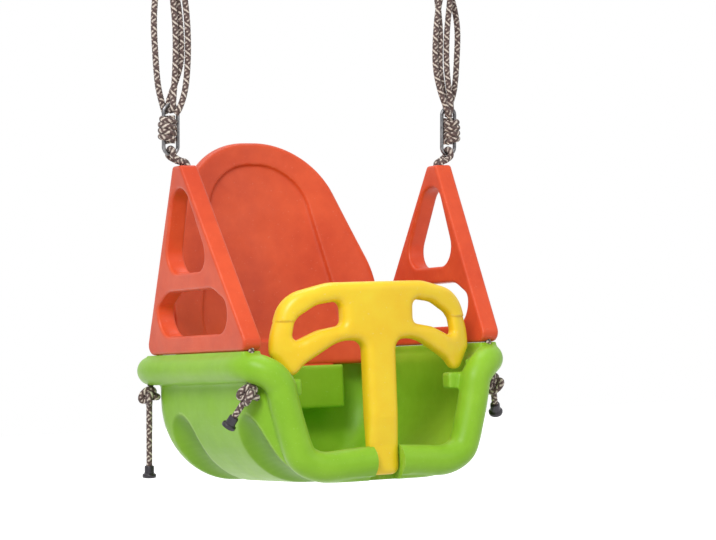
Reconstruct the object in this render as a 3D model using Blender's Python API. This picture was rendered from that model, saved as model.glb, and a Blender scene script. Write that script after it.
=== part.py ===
# Baby swing set: a bucket seat with two rope-carried side frames, a backrest and a front guard.
# Metres, +Z up. The origin is midway between the two hang rings, on the axis that the seat
# swings about. The seat faces -Y. Seat pieces are written in the seat's own frame, whose
# origin is on the rim's top plane under the frames' tops, and which is pitched back as it hangs.
import bpy
import bmesh
from math import sin, cos, tan, pi, radians, sqrt, acos
from mathutils import Vector, Matrix

# Clearances
seatGap = 0.0003            # between pieces that rest on each other
slideGap = 0.0006           # round a piece that is pulled out of a pocket
ropeGap = 0.0007            # round a rope in its channel
bearingGap = 0.0004         # round the hang ring's bar

# Hanging
hangDrop = 0.232            # from the hang axis down to the tops of the side frames
hangSetback = 0.0110        # the hang axis lies this far behind the frames' tops
seatPitch = radians(5.0)    # the front of the seat hangs this much high
ropeSplay = 0.011           # a hang ring lies this much further out than its frame's top

# Rim: one thick roll round the whole edge of the seat
rollRadius = 0.0165
rollSides = 14
railX = 0.150               # centre of the side rails
frameHalfBase = 0.1275      # half the length of a side frame, which the rails carry
rimRear = frameHalfBase + 0.028      # centre of the rear rail
rimFront = frameHalfBase + 0.0005    # centre of the roll where it comes down beside the legs
lipFront = rimFront + 0.003          # centre of the lip at its foremost point
rearCorner = 0.030          # turn of the rail at the rear
frontCorner = 0.026         # and at the front
seatDepth = 0.1440          # from the rim's top to the underside
legTopInset = 0.0290        # how far the roll steps in from the rail beside the thigh
legLowInset = 0.052         # and just above the lip
lipRise = 0.005             # the lip is this much higher at its middle
landWidth = 0.022           # flat on the rail under a side frame

# Bucket
wallThick = 0.010
bucketHalf = 0.1455         # outer half width below the rim
bucketRear = rimRear - 0.0025
bucketFront = rimFront + 0.003
bucketRearCorner = 0.045
bucketFrontCorner = 0.045
turnDepth = 0.090           # height of the curve from wall to floor
turnInset = 0.081           # width of that curve at the sides
rearInset = 0.6             # and at the rear, as a share of it

# Flutes in the side walls
fluteWidth = 0.060
fluteDepth = 0.0075
fluteRearY = 0.58 * frameHalfBase
fluteFrontY = -0.714 * frameHalfBase

# Side frames
frameHeight = 0.205
frameHalfTop = 0.0100
frameThick = 0.0215
frameFoot = 0.147           # centre of a frame's foot
frameLean = 0.0147          # its top lies this much further out
frameEdge = 0.0022          # rounding of its edges
legRopeInset = 0.0056       # rope centre from a leg's outer edge, along the base
footRopeInset = 0.0140      # and from the corner of its foot, where it goes in

# Ropes
ropeRadius = 0.0035
knotRadius = 0.0118
knotHalf = 0.0115           # half height of a stopper knot
knotOut = 0.0020            # it sits this far outward of its hole
knotDrop = 0.0013           # and this far below the rim
capRadius = 0.0054
capFlange = 0.0078
capLength = 0.0140
rearTail = 0.066            # rope below the rear stopper knots
frontTail = 0.016

# Backrest
backThick = 0.016
backFoot = rimRear - 0.0325  # front face at the rim's plane, on the middle line
backRecline = 0.135         # goes back this much for each unit up
backBend = 0.300            # radius of its curve, seen from above
backHeight = 0.245
backSideGap = 0.00175       # to the inner faces of the side frames, at their feet
backHalf = frameFoot - frameThick / 2 - backSideGap
backBottom = 0.018          # below the rim's plane
backEdge = 0.004            # rounding of its edges
backRecess = 0.004
backTopBorder = 0.026       # plain border above the recess
backSideBorder = 0.0445
tongueHalf = 0.075
tongueThick = 0.012
tongueDepth = 0.044
pocketWall = 0.006

# Front guard
guardThick = 0.023
guardEdge = 0.0085
guardTop = 0.0665
guardPlaneY = 0.0015 - rimFront      # middle of the plate's thickness, at the middle
guardBow = 0.0185           # its ends lie this much behind its middle
guardHalf = 0.1222
postHalf = 0.0185
footThick = 0.015
slotMouth = 0.0165          # half width of the slot's open front
slotLip = 0.0045
slotWall = 0.009            # of the boss beside the post

# Steel
barRadius = 0.0040
ringHalf = 0.019            # half the length of the hang ring's straight bar
ringBend = 0.007            # turn between its bar and its sides
ringRise = 0.018            # straight sides of the hang ring
spoolRadius = 0.0102        # where the ropes lie in the spool
spoolFlange = 0.0138
spoolHalf = 0.0100
linkWire = 0.0021
linkHeight = 0.054          # between the wire's centres
linkHalf = 0.0085
linkOut = 0.0148            # the link's middle is this far outward of its frame's top
linkBack = 0.0040           # and this far back
linkLow = 0.0128            # its lowest wire above the frame's top
hitchHalfX = 0.0058
hitchHalfY = 0.0112
hitchHalfZ = 0.0162
hitchRise = 0.0270          # its middle above the link's lowest wire
slackOut = 0.0310           # how far the slack strand bows outward
strand = 0.0073             # between neighbouring strands of a hanging rope

# Derived
kneeY = frameHalfBase + 0.008        # where the rear ropes leave the rim
toeY = -(frameHalfBase - 0.0145)     # and the front ropes
lipZ = -(seatDepth - rollRadius)
railZ = -(rollRadius + 0.0006)
apexX = frameFoot + frameLean
ringX = apexX + ropeSplay
apexWorld = Vector((0.0, -hangSetback, -hangDrop))
seatToWorld = (Matrix.Translation(apexWorld) @ Matrix.Rotation(-seatPitch, 4, 'X')
               @ Matrix.Translation((0.0, 0.0, -frameHeight)))


def clearScene():
    for obj in list(bpy.data.objects):
        bpy.data.objects.remove(obj, do_unlink=True)


def material(name, colour, roughness, metallic=0.0):
    mat = bpy.data.materials.new(name)
    mat.use_nodes = True
    shader = mat.node_tree.nodes["Principled BSDF"]
    shader.inputs["Base Color"].default_value = (*colour, 1.0)
    shader.inputs["Roughness"].default_value = roughness
    shader.inputs["Metallic"].default_value = metallic
    return mat


def addObject(name, mesh, mat=None):
    obj = bpy.data.objects.new(name, mesh)
    bpy.context.scene.collection.objects.link(obj)
    if mat:
        obj.data.materials.clear()
        obj.data.materials.append(mat)
    return obj


def meshFrom(bm, name, smooth=True):
    bmesh.ops.recalc_face_normals(bm, faces=bm.faces)
    if bm.calc_volume(signed=True) < 0:
        bmesh.ops.reverse_faces(bm, faces=bm.faces)
    mesh = bpy.data.meshes.new(name)
    bm.to_mesh(mesh)
    bm.free()
    if smooth:
        mesh.shade_smooth()
        mesh.set_sharp_from_angle(angle=radians(35))
    return mesh


def cutterFrom(obj):
    obj.hide_render = True
    obj.display_type = 'WIRE'
    return obj


def combine(obj, other, operation):
    mod = obj.modifiers.new(operation.title() + " " + other.name, 'BOOLEAN')
    mod.operation = operation
    mod.object = other
    mod.solver = 'EXACT'


def smoothRoute(points, perSpan, closed=False):
    """Points along a smooth curve through the given ones, perSpan of them to each stretch."""
    pts = [Vector(p) for p in points]
    count = len(pts)

    def at(i):
        if closed:
            return pts[i % count]
        if i < 0:
            return pts[0] * 2 - pts[1]
        if i >= count:
            return pts[-1] * 2 - pts[-2]
        return pts[i]

    route = []
    for i in range(count if closed else count - 1):
        p = [at(i - 1), at(i), at(i + 1), at(i + 2)]
        knots = [0.0]
        for k in range(3):
            knots.append(knots[-1] + max((p[k + 1] - p[k]).length, 1e-6) ** 0.5)
        for step in range(perSpan):
            t = knots[1] + (knots[2] - knots[1]) * step / perSpan
            a = [p[k].lerp(p[k + 1], (t - knots[k]) / (knots[k + 1] - knots[k])) for k in range(3)]
            b = [a[k].lerp(a[k + 1], (t - knots[k]) / (knots[k + 2] - knots[k])) for k in range(2)]
            route.append(b[0].lerp(b[1], (t - knots[1]) / (knots[2] - knots[1])))
    if not closed:
        route.append(pts[-1])
    return route


def tubeCurve(name, route, radius, resolution, closed=False):
    curve = bpy.data.curves.new(name, 'CURVE')
    curve.dimensions = '3D'
    curve.bevel_depth = radius
    curve.bevel_resolution = resolution
    curve.use_fill_caps = not closed
    spline = curve.splines.new('POLY')
    spline.points.add(len(route) - 1)
    for point, place in zip(spline.points, route):
        point.co = (*place, 1.0)
    spline.use_cyclic_u = closed
    spline.use_smooth = True
    return curve


def curveMesh(curve):
    """The curve's surface as a mesh, with its caps joined on."""
    holder = bpy.data.objects.new(curve.name, curve)
    bpy.context.scene.collection.objects.link(holder)
    bpy.context.view_layer.update()
    mesh = bpy.data.meshes.new_from_object(holder.evaluated_get(bpy.context.evaluated_depsgraph_get()))
    bpy.data.objects.remove(holder, do_unlink=True)
    bm = bmesh.new()
    bm.from_mesh(mesh)
    bmesh.ops.remove_doubles(bm, verts=bm.verts, dist=1e-6)
    return bm


def rounded(corners, step=0.006):
    """A closed outline through corners given as (u, v, radius), with arcs in place of corners."""
    outline = []
    count = len(corners)
    for i, (u, v, radius) in enumerate(corners):
        here = Vector((u, v))
        back = (Vector(corners[i - 1][:2]) - here).normalized()
        ahead = (Vector(corners[(i + 1) % count][:2]) - here).normalized()
        half = acos(max(-1.0, min(1.0, back.dot(ahead)))) / 2
        reach = radius / tan(half)
        middle = here + (back + ahead).normalized() * (radius / sin(half))
        start = here + back * reach - middle
        turn = pi - 2 * half
        if start.cross(here + ahead * reach - middle) < 0:
            turn = -turn
        steps = max(2, round(abs(turn) * radius / step))
        for k in range(steps + 1):
            angle = turn * k / steps
            outline.append((middle.x + start.x * cos(angle) - start.y * sin(angle),
                            middle.y + start.x * sin(angle) + start.y * cos(angle)))
    return outline


def scaled(corners, across, up):
    """Corners given as shares of a width and a height, with radii as shares of the width."""
    return [(u * across, v * up, r * across) for u, v, r in corners]


def mirrored(corners):
    """Corners of the left half, then of the right, in one turn round the outline."""
    return corners + [(-u, v, r) for u, v, r in reversed(corners)]


def area(outline):
    return sum(a[0] * b[1] - b[0] * a[1] for a, b in zip(outline, outline[1:] + outline[:1])) / 2


def plate(name, outline, holes, thickness, edge, edgeSteps, cuts=()):
    """A slab of the outline in X and Y, through which the holes go, with rounded edges.
    It is cut across at each X in cuts, so that it can be bent."""
    curve = bpy.data.curves.new(name, 'CURVE')
    curve.dimensions = '2D'
    curve.fill_mode = 'BOTH'
    curve.extrude = thickness / 2 - edge
    curve.bevel_depth = edge
    curve.bevel_resolution = edgeSteps
    curve.offset = -edge
    for ring, turn in [(outline, 1)] + [(hole, -1) for hole in holes]:
        if area(ring) * turn < 0:
            ring = ring[::-1]
        spline = curve.splines.new('POLY')
        spline.points.add(len(ring) - 1)
        for point, place in zip(spline.points, ring):
            point.co = (*place, 0.0, 1.0)
        spline.use_cyclic_u = True
    bm = curveMesh(curve)
    for x in cuts:
        geom = list(bm.verts) + list(bm.edges) + list(bm.faces)
        bmesh.ops.bisect_plane(bm, geom=geom, dist=1e-7, plane_co=(x, 0, 0), plane_no=(1, 0, 0))
    return bm


def box(name, low, high, bevel=0.0):
    bm = bmesh.new()
    bmesh.ops.create_cube(bm, size=1.0)
    size = Vector(high) - Vector(low)
    bmesh.ops.scale(bm, vec=size, verts=bm.verts)
    bmesh.ops.translate(bm, vec=(Vector(high) + Vector(low)) / 2, verts=bm.verts)
    if bevel:
        bmesh.ops.bevel(bm, geom=bm.edges, offset=bevel, segments=1, profile=0.5, affect='EDGES',
                        material=-1)
    return meshFrom(bm, name, smooth=False)


def turned(name, profile, sides):
    """A closed profile of (radius, height) points, outer side first from top to bottom,
    turned about Z."""
    bm = bmesh.new()
    verts = [bm.verts.new((r, 0, z)) for r, z in profile]
    edges = [bm.edges.new((verts[i], verts[(i + 1) % len(verts)])) for i in range(len(verts))]
    bmesh.ops.spin(bm, geom=verts + edges, cent=(0, 0, 0), axis=(0, 0, 1), angle=2 * pi,
                   steps=sides, use_merge=True)
    bmesh.ops.remove_doubles(bm, verts=bm.verts, dist=1e-6)
    bmesh.ops.holes_fill(bm, edges=bm.edges)
    return meshFrom(bm, name)


# Seat

def rimRoute():
    """The roll's centre line: rear rail, left rail, down beside the leg, lip, and up again."""
    top = railX - legTopInset
    low = railX - legLowInset
    turn = frontCorner

    def down(share):
        """Height at a share of the way from the end of the front corner to the lip."""
        start = railZ - 0.413 * turn
        return start + (lipZ - start) * share

    left = [
        (0.0, rimRear, railZ),
        (-(railX - rearCorner) * 0.55, rimRear, railZ),
        (-(railX - rearCorner), rimRear, railZ),
        (-(railX - rearCorner * 0.293), rimRear - rearCorner * 0.293, railZ),
        (-railX, rimRear - rearCorner, railZ),
        (-railX, rimRear * 0.35, railZ),
        (-railX, -rimFront * 0.35, railZ),
        (-railX, -rimFront + turn, railZ),
        (-railX + 0.142 * turn, -rimFront + 0.516 * turn, railZ - 0.045 * turn),
        (-railX + 0.458 * turn, -rimFront + 0.219 * turn, railZ - 0.181 * turn),
        (-railX + 0.803 * turn, -rimFront + 0.052 * turn, railZ - 0.413 * turn),
        (-top, -rimFront, down(0.106)),
        (-(top * 0.87 + low * 0.13), -rimFront, down(0.251)),
        (-(top * 0.67 + low * 0.33), -rimFront, down(0.441)),
        (-(top * 0.47 + low * 0.53), -rimFront, down(0.606)),
        (-(top * 0.28 + low * 0.72), -rimFront, down(0.750)),
        (-low, -rimFront, down(0.881)),
        (-low * 0.80, -(rimFront * 0.9 + lipFront * 0.1), down(0.980)),
        (-low * 0.42, -(rimFront * 0.35 + lipFront * 0.65), lipZ + 0.6 * lipRise),
    ]
    front = [(0.0, -lipFront, lipZ + lipRise)]
    right = [(-x, y, z) for x, y, z in reversed(left[1:])]
    return left + front + right


def wallInset(height):
    """How far the bucket's outline is drawn in at a height below the rim."""
    start = seatDepth - turnDepth
    if -height <= start:
        return 0.0
    rise = min(1.0, (-height - start) / turnDepth)
    return turnInset * (1.0 - sqrt(max(0.0, 1.0 - rise * rise)))


def bucketRing(height, inset, thick):
    """The bucket's outline at a height, drawn in by inset and again by thick."""
    shrink = 1.0 - 0.85 * inset / turnInset
    half = bucketHalf - inset - thick
    rear = bucketRear - rearInset * inset - thick
    front = -(bucketFront - thick)
    least = 0.4 * wallThick
    rearR = max(bucketRearCorner * shrink - thick, least)
    frontR = max(bucketFrontCorner * (0.55 + 0.45 * shrink) - thick, least)
    ring = []
    corners = [(-half, rear, rearR, 90), (-half, front, frontR, 180), (half, front, frontR, 270),
               (half, rear, rearR, 0)]
    for x, y, radius, start in corners:
        cx = x + radius if x < 0 else x - radius
        cy = y - radius if y > 0 else y + radius
        steps = 7 if y > 0 else 5
        for k in range(steps + 1):
            angle = radians(start + 90 * k / steps)
            ring.append((cx + radius * cos(angle), cy + radius * sin(angle), height))
    return ring


def bucketMesh():
    """Outer wall from the rim down to the underside, and the inner wall back up."""
    levels = 8
    start = seatDepth - turnDepth
    bm = bmesh.new()
    outer = [(railZ, 0.0)]
    for k in range(levels + 1):
        height = -(start + turnDepth * sin(pi / 2 * k / levels))
        outer.append((height, wallInset(height)))
    floor = -(seatDepth - wallThick)
    inner = []
    for height, inset in outer:
        depth = (height - railZ) / (-seatDepth - railZ)
        inner.append((railZ + depth * (floor - railZ), inset * 0.93))
    rings = []
    for height, inset in outer:
        rings.append([bm.verts.new(p) for p in bucketRing(height, inset, 0.0)])
    for height, inset in reversed(inner):
        rings.append([bm.verts.new(p) for p in bucketRing(height, inset, wallThick)])
    size = len(rings[0])
    middle = len(outer)
    for a, b in zip(rings, rings[1:] + rings[:1]):
        if a is rings[middle - 1]:
            continue
        for k in range(size):
            bm.faces.new((a[k], a[(k + 1) % size], b[(k + 1) % size], b[k]))
    bm.faces.new(rings[middle - 1])
    bm.faces.new(rings[middle])
    bm.normal_update()
    bmesh.ops.triangulate(bm, faces=[f for f in bm.faces if len(f.verts) > 4])
    return meshFrom(bm, "bucket")


def legOpening():
    """What the roll goes round at the front: cut out of the front wall only."""
    route = smoothRoute(rimRoute(), 3, closed=True)
    left = [p for p in route if p.y < -rimFront + 0.58 * frontCorner and p.x < 0
            and p.z < railZ - 0.016 * frontCorner]
    outline = [(p.x, p.z) for p in left]
    outline = [(outline[0][0], 1.2 * rollRadius)] + outline
    outline += [(-u, v) for u, v in reversed(outline)]
    bm = bmesh.new()
    front = -(lipFront + 3 * rollRadius)
    back = -bucketFront + 1.6 * wallThick
    near = [bm.verts.new((u, front, v)) for u, v in outline]
    far = [bm.verts.new((u, back, v)) for u, v in outline]
    size = len(outline)
    for k in range(size):
        bm.faces.new((near[k], near[(k + 1) % size], far[(k + 1) % size], far[k]))
    bm.faces.new(near)
    bm.faces.new(far)
    bm.normal_update()
    bmesh.ops.triangulate(bm, faces=[f for f in bm.faces if len(f.verts) > 4])
    return meshFrom(bm, "leg_opening", smooth=False)


def fluteCutter(side, y):
    """A fat bent tube that lies along the wall's curve and shaves a hollow into it."""
    radius = (fluteWidth ** 2 / 4 + fluteDepth ** 2) / (2 * fluteDepth)
    start = seatDepth - turnDepth
    route = []
    for degrees, share in ((4, -1.5), (12, -0.5), (17, 0.15), (23, 0.75), (32, 1.0), (46, 1.0),
                           (62, 1.0), (76, 0.8), (90, 0.35)):
        angle = radians(degrees)
        x = bucketHalf - turnInset * (1 - cos(angle))
        z = -(start + turnDepth * sin(angle))
        normal = Vector((turnDepth * cos(angle), -turnInset * sin(angle))).normalized()
        reach = radius - fluteDepth * share
        route.append((side * (x + normal.x * reach), y, z + normal.y * reach))
    name = "flute_cut"
    return meshFrom(curveMesh(tubeCurve(name, smoothRoute(route, 2), radius, 14)), name)


def backPlace(u, v, w):
    """A point of the backrest's slab: u across, v up, w forward of its middle."""
    y = backFoot + backThick / 2 + backRecline * v - w - u * u / (2 * backBend)
    return Vector((u, y, v))


def guardPlace(u, v, w):
    """A point of the guard's slab: u across, v up, w forward of its middle."""
    end = (abs(u) / guardHalf - 0.696) / 0.245 if v < 0.45 * guardTop else 0.0
    end = min(1.0, max(0.0, end))
    foot = min(1.0, max(0.0, (-v / seatDepth - 0.53) / 0.21))
    thin = 1.0 - (1.0 - footThick / guardThick) * max(foot, 0.85 * end)
    y = guardPlaneY + guardBow * (u / guardHalf) ** 2 - w * thin
    return Vector((u, y, v))


def bend(bm, place):
    for vert in bm.verts:
        vert.co = place(vert.co.x, vert.co.y, vert.co.z)


def makeSeat(parent, mat):
    seat = addObject("bucket_seat", bucketMesh(), mat)
    seat.parent = parent
    roll = tubeCurve("rolled_rim", smoothRoute(rimRoute(), 2, closed=True), rollRadius,
                     (rollSides - 4) // 2, closed=True)
    steps = [("leg_opening", legOpening(), 'DIFFERENCE'),
             ("rolled_rim_guide", meshFrom(curveMesh(roll), "rolled_rim"), 'UNION')]
    for side in (-1, 1):
        x = side * frameFoot
        land = box("frame_land", (x - landWidth / 2, -0.906 * frameHalfBase, railZ),
                   (x + landWidth / 2, frameHalfBase, 0.0))
        steps.append(("frame_land_guide", land, 'UNION'))
        for y in (fluteRearY, fluteFrontY):
            steps.append(("flute_cut", fluteCutter(side, y), 'DIFFERENCE'))
        tip = guardTip()
        ends = (side * (tip.x + 0.758 * rollRadius), side * (tip.x - 0.273 * rollRadius))
        ledge = box("guard_ledge",
                    (min(ends), tip.y - 0.485 * rollRadius, tip.z - 1.09 * rollRadius),
                    (max(ends), tip.y + 0.485 * rollRadius, tip.z - seatGap))
        steps.append(("guard_ledge_guide", ledge, 'UNION'))
        for name, route in ropeHoles(side):
            hole = tubeCurve(name, route, ropeRadius + ropeGap, 4)
            steps.append((name, meshFrom(curveMesh(hole), name), 'DIFFERENCE'))
    # pocket for the backrest's tongue
    pocketTop = -backBottom - seatGap
    pocketLow = -backBottom - tongueDepth - pocketWall
    front = backPlace(tongueHalf, pocketLow, backThick / 2).y - pocketWall
    pocket = box("pocket", (-tongueHalf - pocketWall, front, pocketLow),
                 (tongueHalf + pocketWall, bucketRear - wallThick / 2, pocketTop), pocketWall / 3)
    steps.append(("pocket_guide", pocket, 'UNION'))
    steps.append(("tongue_cut", tongueMesh(slideGap, backBottom * 0.5), 'DIFFERENCE'))
    # slot for the guard's post, open to the front and at both ends
    y = guardPlaneY
    reach = footThick / 2 + slideGap
    boss = box("slot_boss", (-postHalf - slotWall, y - reach - slotLip, lipRise - seatDepth),
               (postHalf + slotWall, y + reach + 0.67 * slotWall, lipZ + lipRise + rollRadius * 0.9),
               slotWall / 3)
    steps.append(("slot_boss_guide", boss, 'UNION'))
    steps.append(("post_cut", postCut(), 'DIFFERENCE'))
    mouth = box("mouth_cut", (-slotMouth, y - 2.4 * rollRadius, -seatDepth - rollRadius),
                (slotMouth, y, lipZ + 1.6 * rollRadius))
    steps.append(("mouth_cut", mouth, 'DIFFERENCE'))
    for name, mesh, operation in steps:
        other = cutterFrom(addObject(name, mesh))
        other.parent = parent
        combine(seat, other, operation)
    return seat


def postCut():
    """The guard's foot, grown by its clearance, as the shape to cut out of the lip."""
    half = postHalf + slideGap
    top = -0.6 * seatDepth
    low = -seatDepth - rollRadius / 2
    outline = [(-half, top), (-half, low), (half, low), (half, top)]
    bm = bmesh.new()
    grow = slideGap / (footThick / guardThick)
    w = guardThick / 2 + grow
    near = [bm.verts.new(guardPlace(u, v, w)) for u, v in outline]
    far = [bm.verts.new(guardPlace(u, v, -w)) for u, v in outline]
    for k in range(4):
        bm.faces.new((near[k], near[(k + 1) % 4], far[(k + 1) % 4], far[k]))
    bm.faces.new(near)
    bm.faces.new(far)
    return meshFrom(bm, "post_cut", smooth=False)


# Side frames and the ropes that carry them

def frameX(z, side):
    """Middle of a side frame's thickness at a height above the rim."""
    return side * (frameFoot + frameLean * z / frameHeight)


def legY(z):
    """Distance of the rope from the middle line, in a frame's leg."""
    slope = (frameHalfBase - frameHalfTop) / frameHeight
    return frameHalfBase - legRopeInset - slope * z


def legRoute(side, front):
    """The rope inside one leg, from under the rim to the frame's top."""
    below = railZ - rollRadius - knotDrop + 3 * seatGap
    if front:
        low = [(side * railX, toeY, below), (side * railX, toeY - 0.0012, below * 0.5),
               (frameX(0.0, side), footRopeInset - frameHalfBase, 0.002)]
    else:
        low = [(side * railX, kneeY, below), (side * railX, kneeY - 0.0060, below * 0.5),
               (frameX(0.0, side), frameHalfBase - footRopeInset, 0.002)]
    sign = -1 if front else 1
    high = [(frameX(z, side), sign * legY(z), z) for z in
            (frameHeight * 0.10, frameHeight * 0.32, frameHeight * 0.55, frameHeight * 0.78,
             frameHeight * 0.86)]
    top = [(frameX(frameHeight * 0.95, side), sign * 0.0064, frameHeight * 0.95),
           (frameX(frameHeight, side), sign * 0.0050, frameHeight + 0.003)]
    return low + high + top


def legRun(side, front, low, high):
    """The rope's own points along one leg, in the seat's frame, between two heights."""
    route = smoothRoute(seatRopeRoute(side), 2)
    if front:
        route = route[::-1]
    inverse = seatToWorld.inverted()
    half = [inverse @ p for p in route[:len(route) // 2]]
    return [p for p in half if low < p.z < high]


def ropeHoles(side):
    """Holes through the rail for the two rope legs, run on past both of its faces."""
    holes = []
    for front in (True, False):
        run = legRun(side, front, -seatDepth, 0.016)
        below = run[0] + (run[0] - run[1]).normalized() * rollRadius
        holes.append(("rope_hole_cut", [below] + run))
    return holes


def makeSideFrame(side, parent, mat):
    name = "side_frame_" + ("left" if side < 0 else "right")
    outer = mirrored([(-frameHalfTop, frameHeight, 0.4 * frameHalfTop),
                      (-frameHalfBase, 0.0, 0.078 * frameHalfBase)])
    upper = mirrored([(-0.459, 0.429, 0.165)]) + [(0.0, 1.034, 0.188)]
    lower = mirrored([(-0.440, 0.336, 0.30), (-0.672, 0.262, 0.10), (-0.672, 0.095, 0.20)])
    holes = [rounded(scaled(hole, frameHalfBase, frameHeight), 0.008) for hole in (upper, lower)]
    bm = plate(name, rounded(outer), holes, frameThick, frameEdge, 0)

    def stand(u, v, w):
        return Vector((frameX(v, side) + w, u, v + seatGap))

    bend(bm, stand)
    obj = addObject(name, meshFrom(bm, name), mat)
    obj.parent = parent
    for front in (True, False):
        route = legRun(side, front, -0.012, frameHeight + 0.0085)
        channel = tubeCurve("rope_channel_cut", route, ropeRadius + ropeGap, 2)
        cut = cutterFrom(addObject("rope_channel_cut", meshFrom(curveMesh(channel), "rope_channel_cut")))
        cut.parent = parent
        combine(obj, cut, 'DIFFERENCE')
    return obj


def world(place):
    return seatToWorld @ Vector(place)


def hung(side, out, y, z):
    """A world point measured from a frame's top: outward, back and up."""
    return Vector((side * (apexX + out), y - hangSetback, z - hangDrop))


def bight(turn):
    """Half a turn of rope over the link's lowest wire, or under its highest one."""
    radius = linkWire + ropeRadius + 2 * seatGap
    steps = [radians(a) for a in (-12, 22, 56, 90, 124, 158, 192)]
    return [(radius * cos(a), turn * radius * sin(a)) for a in steps]


def seatRopeRoute(side):
    """From the rear stopper knot up one leg, over the link, and down the other leg."""
    rear = [world(p) for p in legRoute(side, False)]
    front = [world(p) for p in legRoute(side, True)]
    over = [hung(side, linkOut, linkBack + y, linkLow + z) for y, z in bight(1)]
    lead = [hung(side, linkOut * 0.50, linkBack * 0.6 + 0.0058, linkLow * 0.50)]
    tail = [hung(side, linkOut * 0.50, linkBack * 0.6 - 0.0058, linkLow * 0.50)]
    return rear + lead + over + tail + front[::-1]


def hangingRopeRoute(side):
    """Up from the hitch knot on the slack outer strand, over the spool, down and through
    the link, up and over the spool again, and down to the knot."""
    turn = spoolRadius + seatGap + ropeRadius
    lane = ropeRadius + seatGap
    back = hangSetback
    top = hangDrop
    high = linkLow + linkHeight
    knotTop = linkLow + hitchRise + hitchHalfZ

    def over(out, frontFirst):
        sign = -1 if frontFirst else 1
        steps = [radians(a) for a in (-8, 24, 57, 90, 123, 156, 188)]
        arc = [(out, back + sign * turn * cos(a), top + turn * sin(a)) for a in steps]
        below = [(out, back + s * turn * 0.93, top - spoolFlange * 1.2) for s in (sign, -sign)]
        return [below[0]] + arc + [below[1]]

    outer = ropeSplay + lane
    inner = ropeSplay - lane
    points = [(linkOut + 0.0030, linkBack + 0.0074, knotTop + 0.0003),
              (linkOut + 0.0065, linkBack + 0.0080, knotTop + 0.012),
              (slackOut * 0.86, 0.0108, top * 0.375), (slackOut * 0.97, 0.0108, top * 0.53),
              (slackOut, 0.0120, top * 0.70), (slackOut * 0.80, 0.0170, top * 0.85)]
    points += over(outer, False)
    points += [(strand * 1.9, 0.0004, top * 0.80), (strand * 1.46, 0.0008, top * 0.65),
               (strand * 1.46, 0.0006, top * 0.48)]
    points += [(linkOut, linkBack - y, high + z) for y, z in bight(-1)]
    points += [(strand * 0.46, 0.0034, top * 0.48), (strand * 0.46, 0.0034, top * 0.65),
               (strand * 0.6, 0.0110, top * 0.80)]
    points += over(inner, False)
    points += [(0.0, 0.0004, top * 0.80), (-strand * 0.54, 0.0008, top * 0.65),
               (-strand * 0.54, 0.0006, top * 0.48), (linkOut * 0.12, -0.0036, top * 0.345),
               (linkOut * 0.62, linkBack - 0.0094, knotTop + 0.0060),
               (linkOut * 0.84, linkBack - 0.0074, knotTop + 0.0003)]
    return [hung(side, *p) for p in points]


def makeLink(name, side, mat):
    """An oval of round wire, upright, across the ropes' bights."""
    route = []
    for k in range(24):
        angle = 2 * pi * (k + 0.5) / 24
        rise = linkLow + linkHalf if sin(angle) < 0 else linkLow + linkHeight - linkHalf
        route.append(hung(side, linkOut + linkHalf * cos(angle), linkBack, rise + linkHalf * sin(angle)))
    mesh = meshFrom(curveMesh(tubeCurve(name, route, linkWire, 2, closed=True)), name)
    return addObject(name, mesh, mat)


def makeHitch(name, side, mat):
    """The hitch as one lobed mass: the turns of rope show as ridges round it."""
    bm = bmesh.new()
    bmesh.ops.create_uvsphere(bm, u_segments=18, v_segments=12, radius=1.0)
    centre = hung(side, linkOut, linkBack, linkLow + hitchRise)
    for vert in bm.verts:
        x, y, z = vert.co
        full = (abs(x) ** 3 + abs(y) ** 3 + abs(z) ** 3) ** (-1 / 3)
        ridge = 1.0 - 0.06 * (1.0 - abs(z)) * (1.0 - cos(3 * pi * z + 1.2 * y))
        vert.co = Vector((x * hitchHalfX * ridge, y * hitchHalfY * ridge, z * hitchHalfZ)) * full
    bmesh.ops.translate(bm, vec=centre, verts=bm.verts)
    return addObject(name, meshFrom(bm, name), mat)


def makeSpool(name, side, mat):
    """A grooved spool that turns on the hang ring's bar and carries the two turns of rope."""
    bore = barRadius + bearingGap
    groove = spoolHalf - 0.0021
    profile = [(spoolFlange - 0.001, spoolHalf), (spoolFlange, spoolHalf - 0.001),
               (spoolFlange, groove), (spoolRadius, groove), (spoolRadius, -groove),
               (spoolFlange, -groove), (spoolFlange, -spoolHalf + 0.001),
               (spoolFlange - 0.001, -spoolHalf), (bore, -spoolHalf), (bore, spoolHalf)]
    obj = addObject(name, turned(name, profile, 24), mat)
    turn = Matrix.Translation((side * ringX, 0, 0)) @ Matrix.Rotation(pi / 2, 4, 'Y')
    obj.data.transform(turn)
    return obj


def makeRing(name, side, mat):
    """A D-shaped ring: a straight bar below, straight sides and a round top."""
    foot = ringHalf - ringBend
    route = []
    for x, z, radius, first, count in ((foot, ringBend, ringBend, 270, 7), (0.0, ringRise, ringHalf, 0, 13),
                                       (-foot, ringBend, ringBend, 180, 7)):
        for k in range(count):
            angle = radians(first + 15 * k)
            route.append(Vector((side * ringX + x + radius * cos(angle), 0.0, z + radius * sin(angle))))
    mesh = meshFrom(curveMesh(tubeCurve(name, route, barRadius, 3, closed=True)), name)
    return addObject(name, mesh, mat)


def knotPlace(side, front):
    """Centre of a stopper knot, in the seat's frame."""
    y = toeY if front else kneeY
    return Vector((side * (railX + knotOut), y, railZ - rollRadius - knotDrop - knotHalf))


def tailRun(side, front):
    """Start and direction of a rope's tail, in the world."""
    centre = world(knotPlace(side, front))
    if front:
        way = Vector((side * 0.36, 0.42, -0.83)).normalized()
    else:
        way = Vector((0.0, 0.0, -1.0))
    reach = 1 / sqrt((way.x ** 2 + way.y ** 2) / knotRadius ** 2 + way.z ** 2 / knotHalf ** 2)
    return centre + way * (reach + seatGap), way


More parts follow.
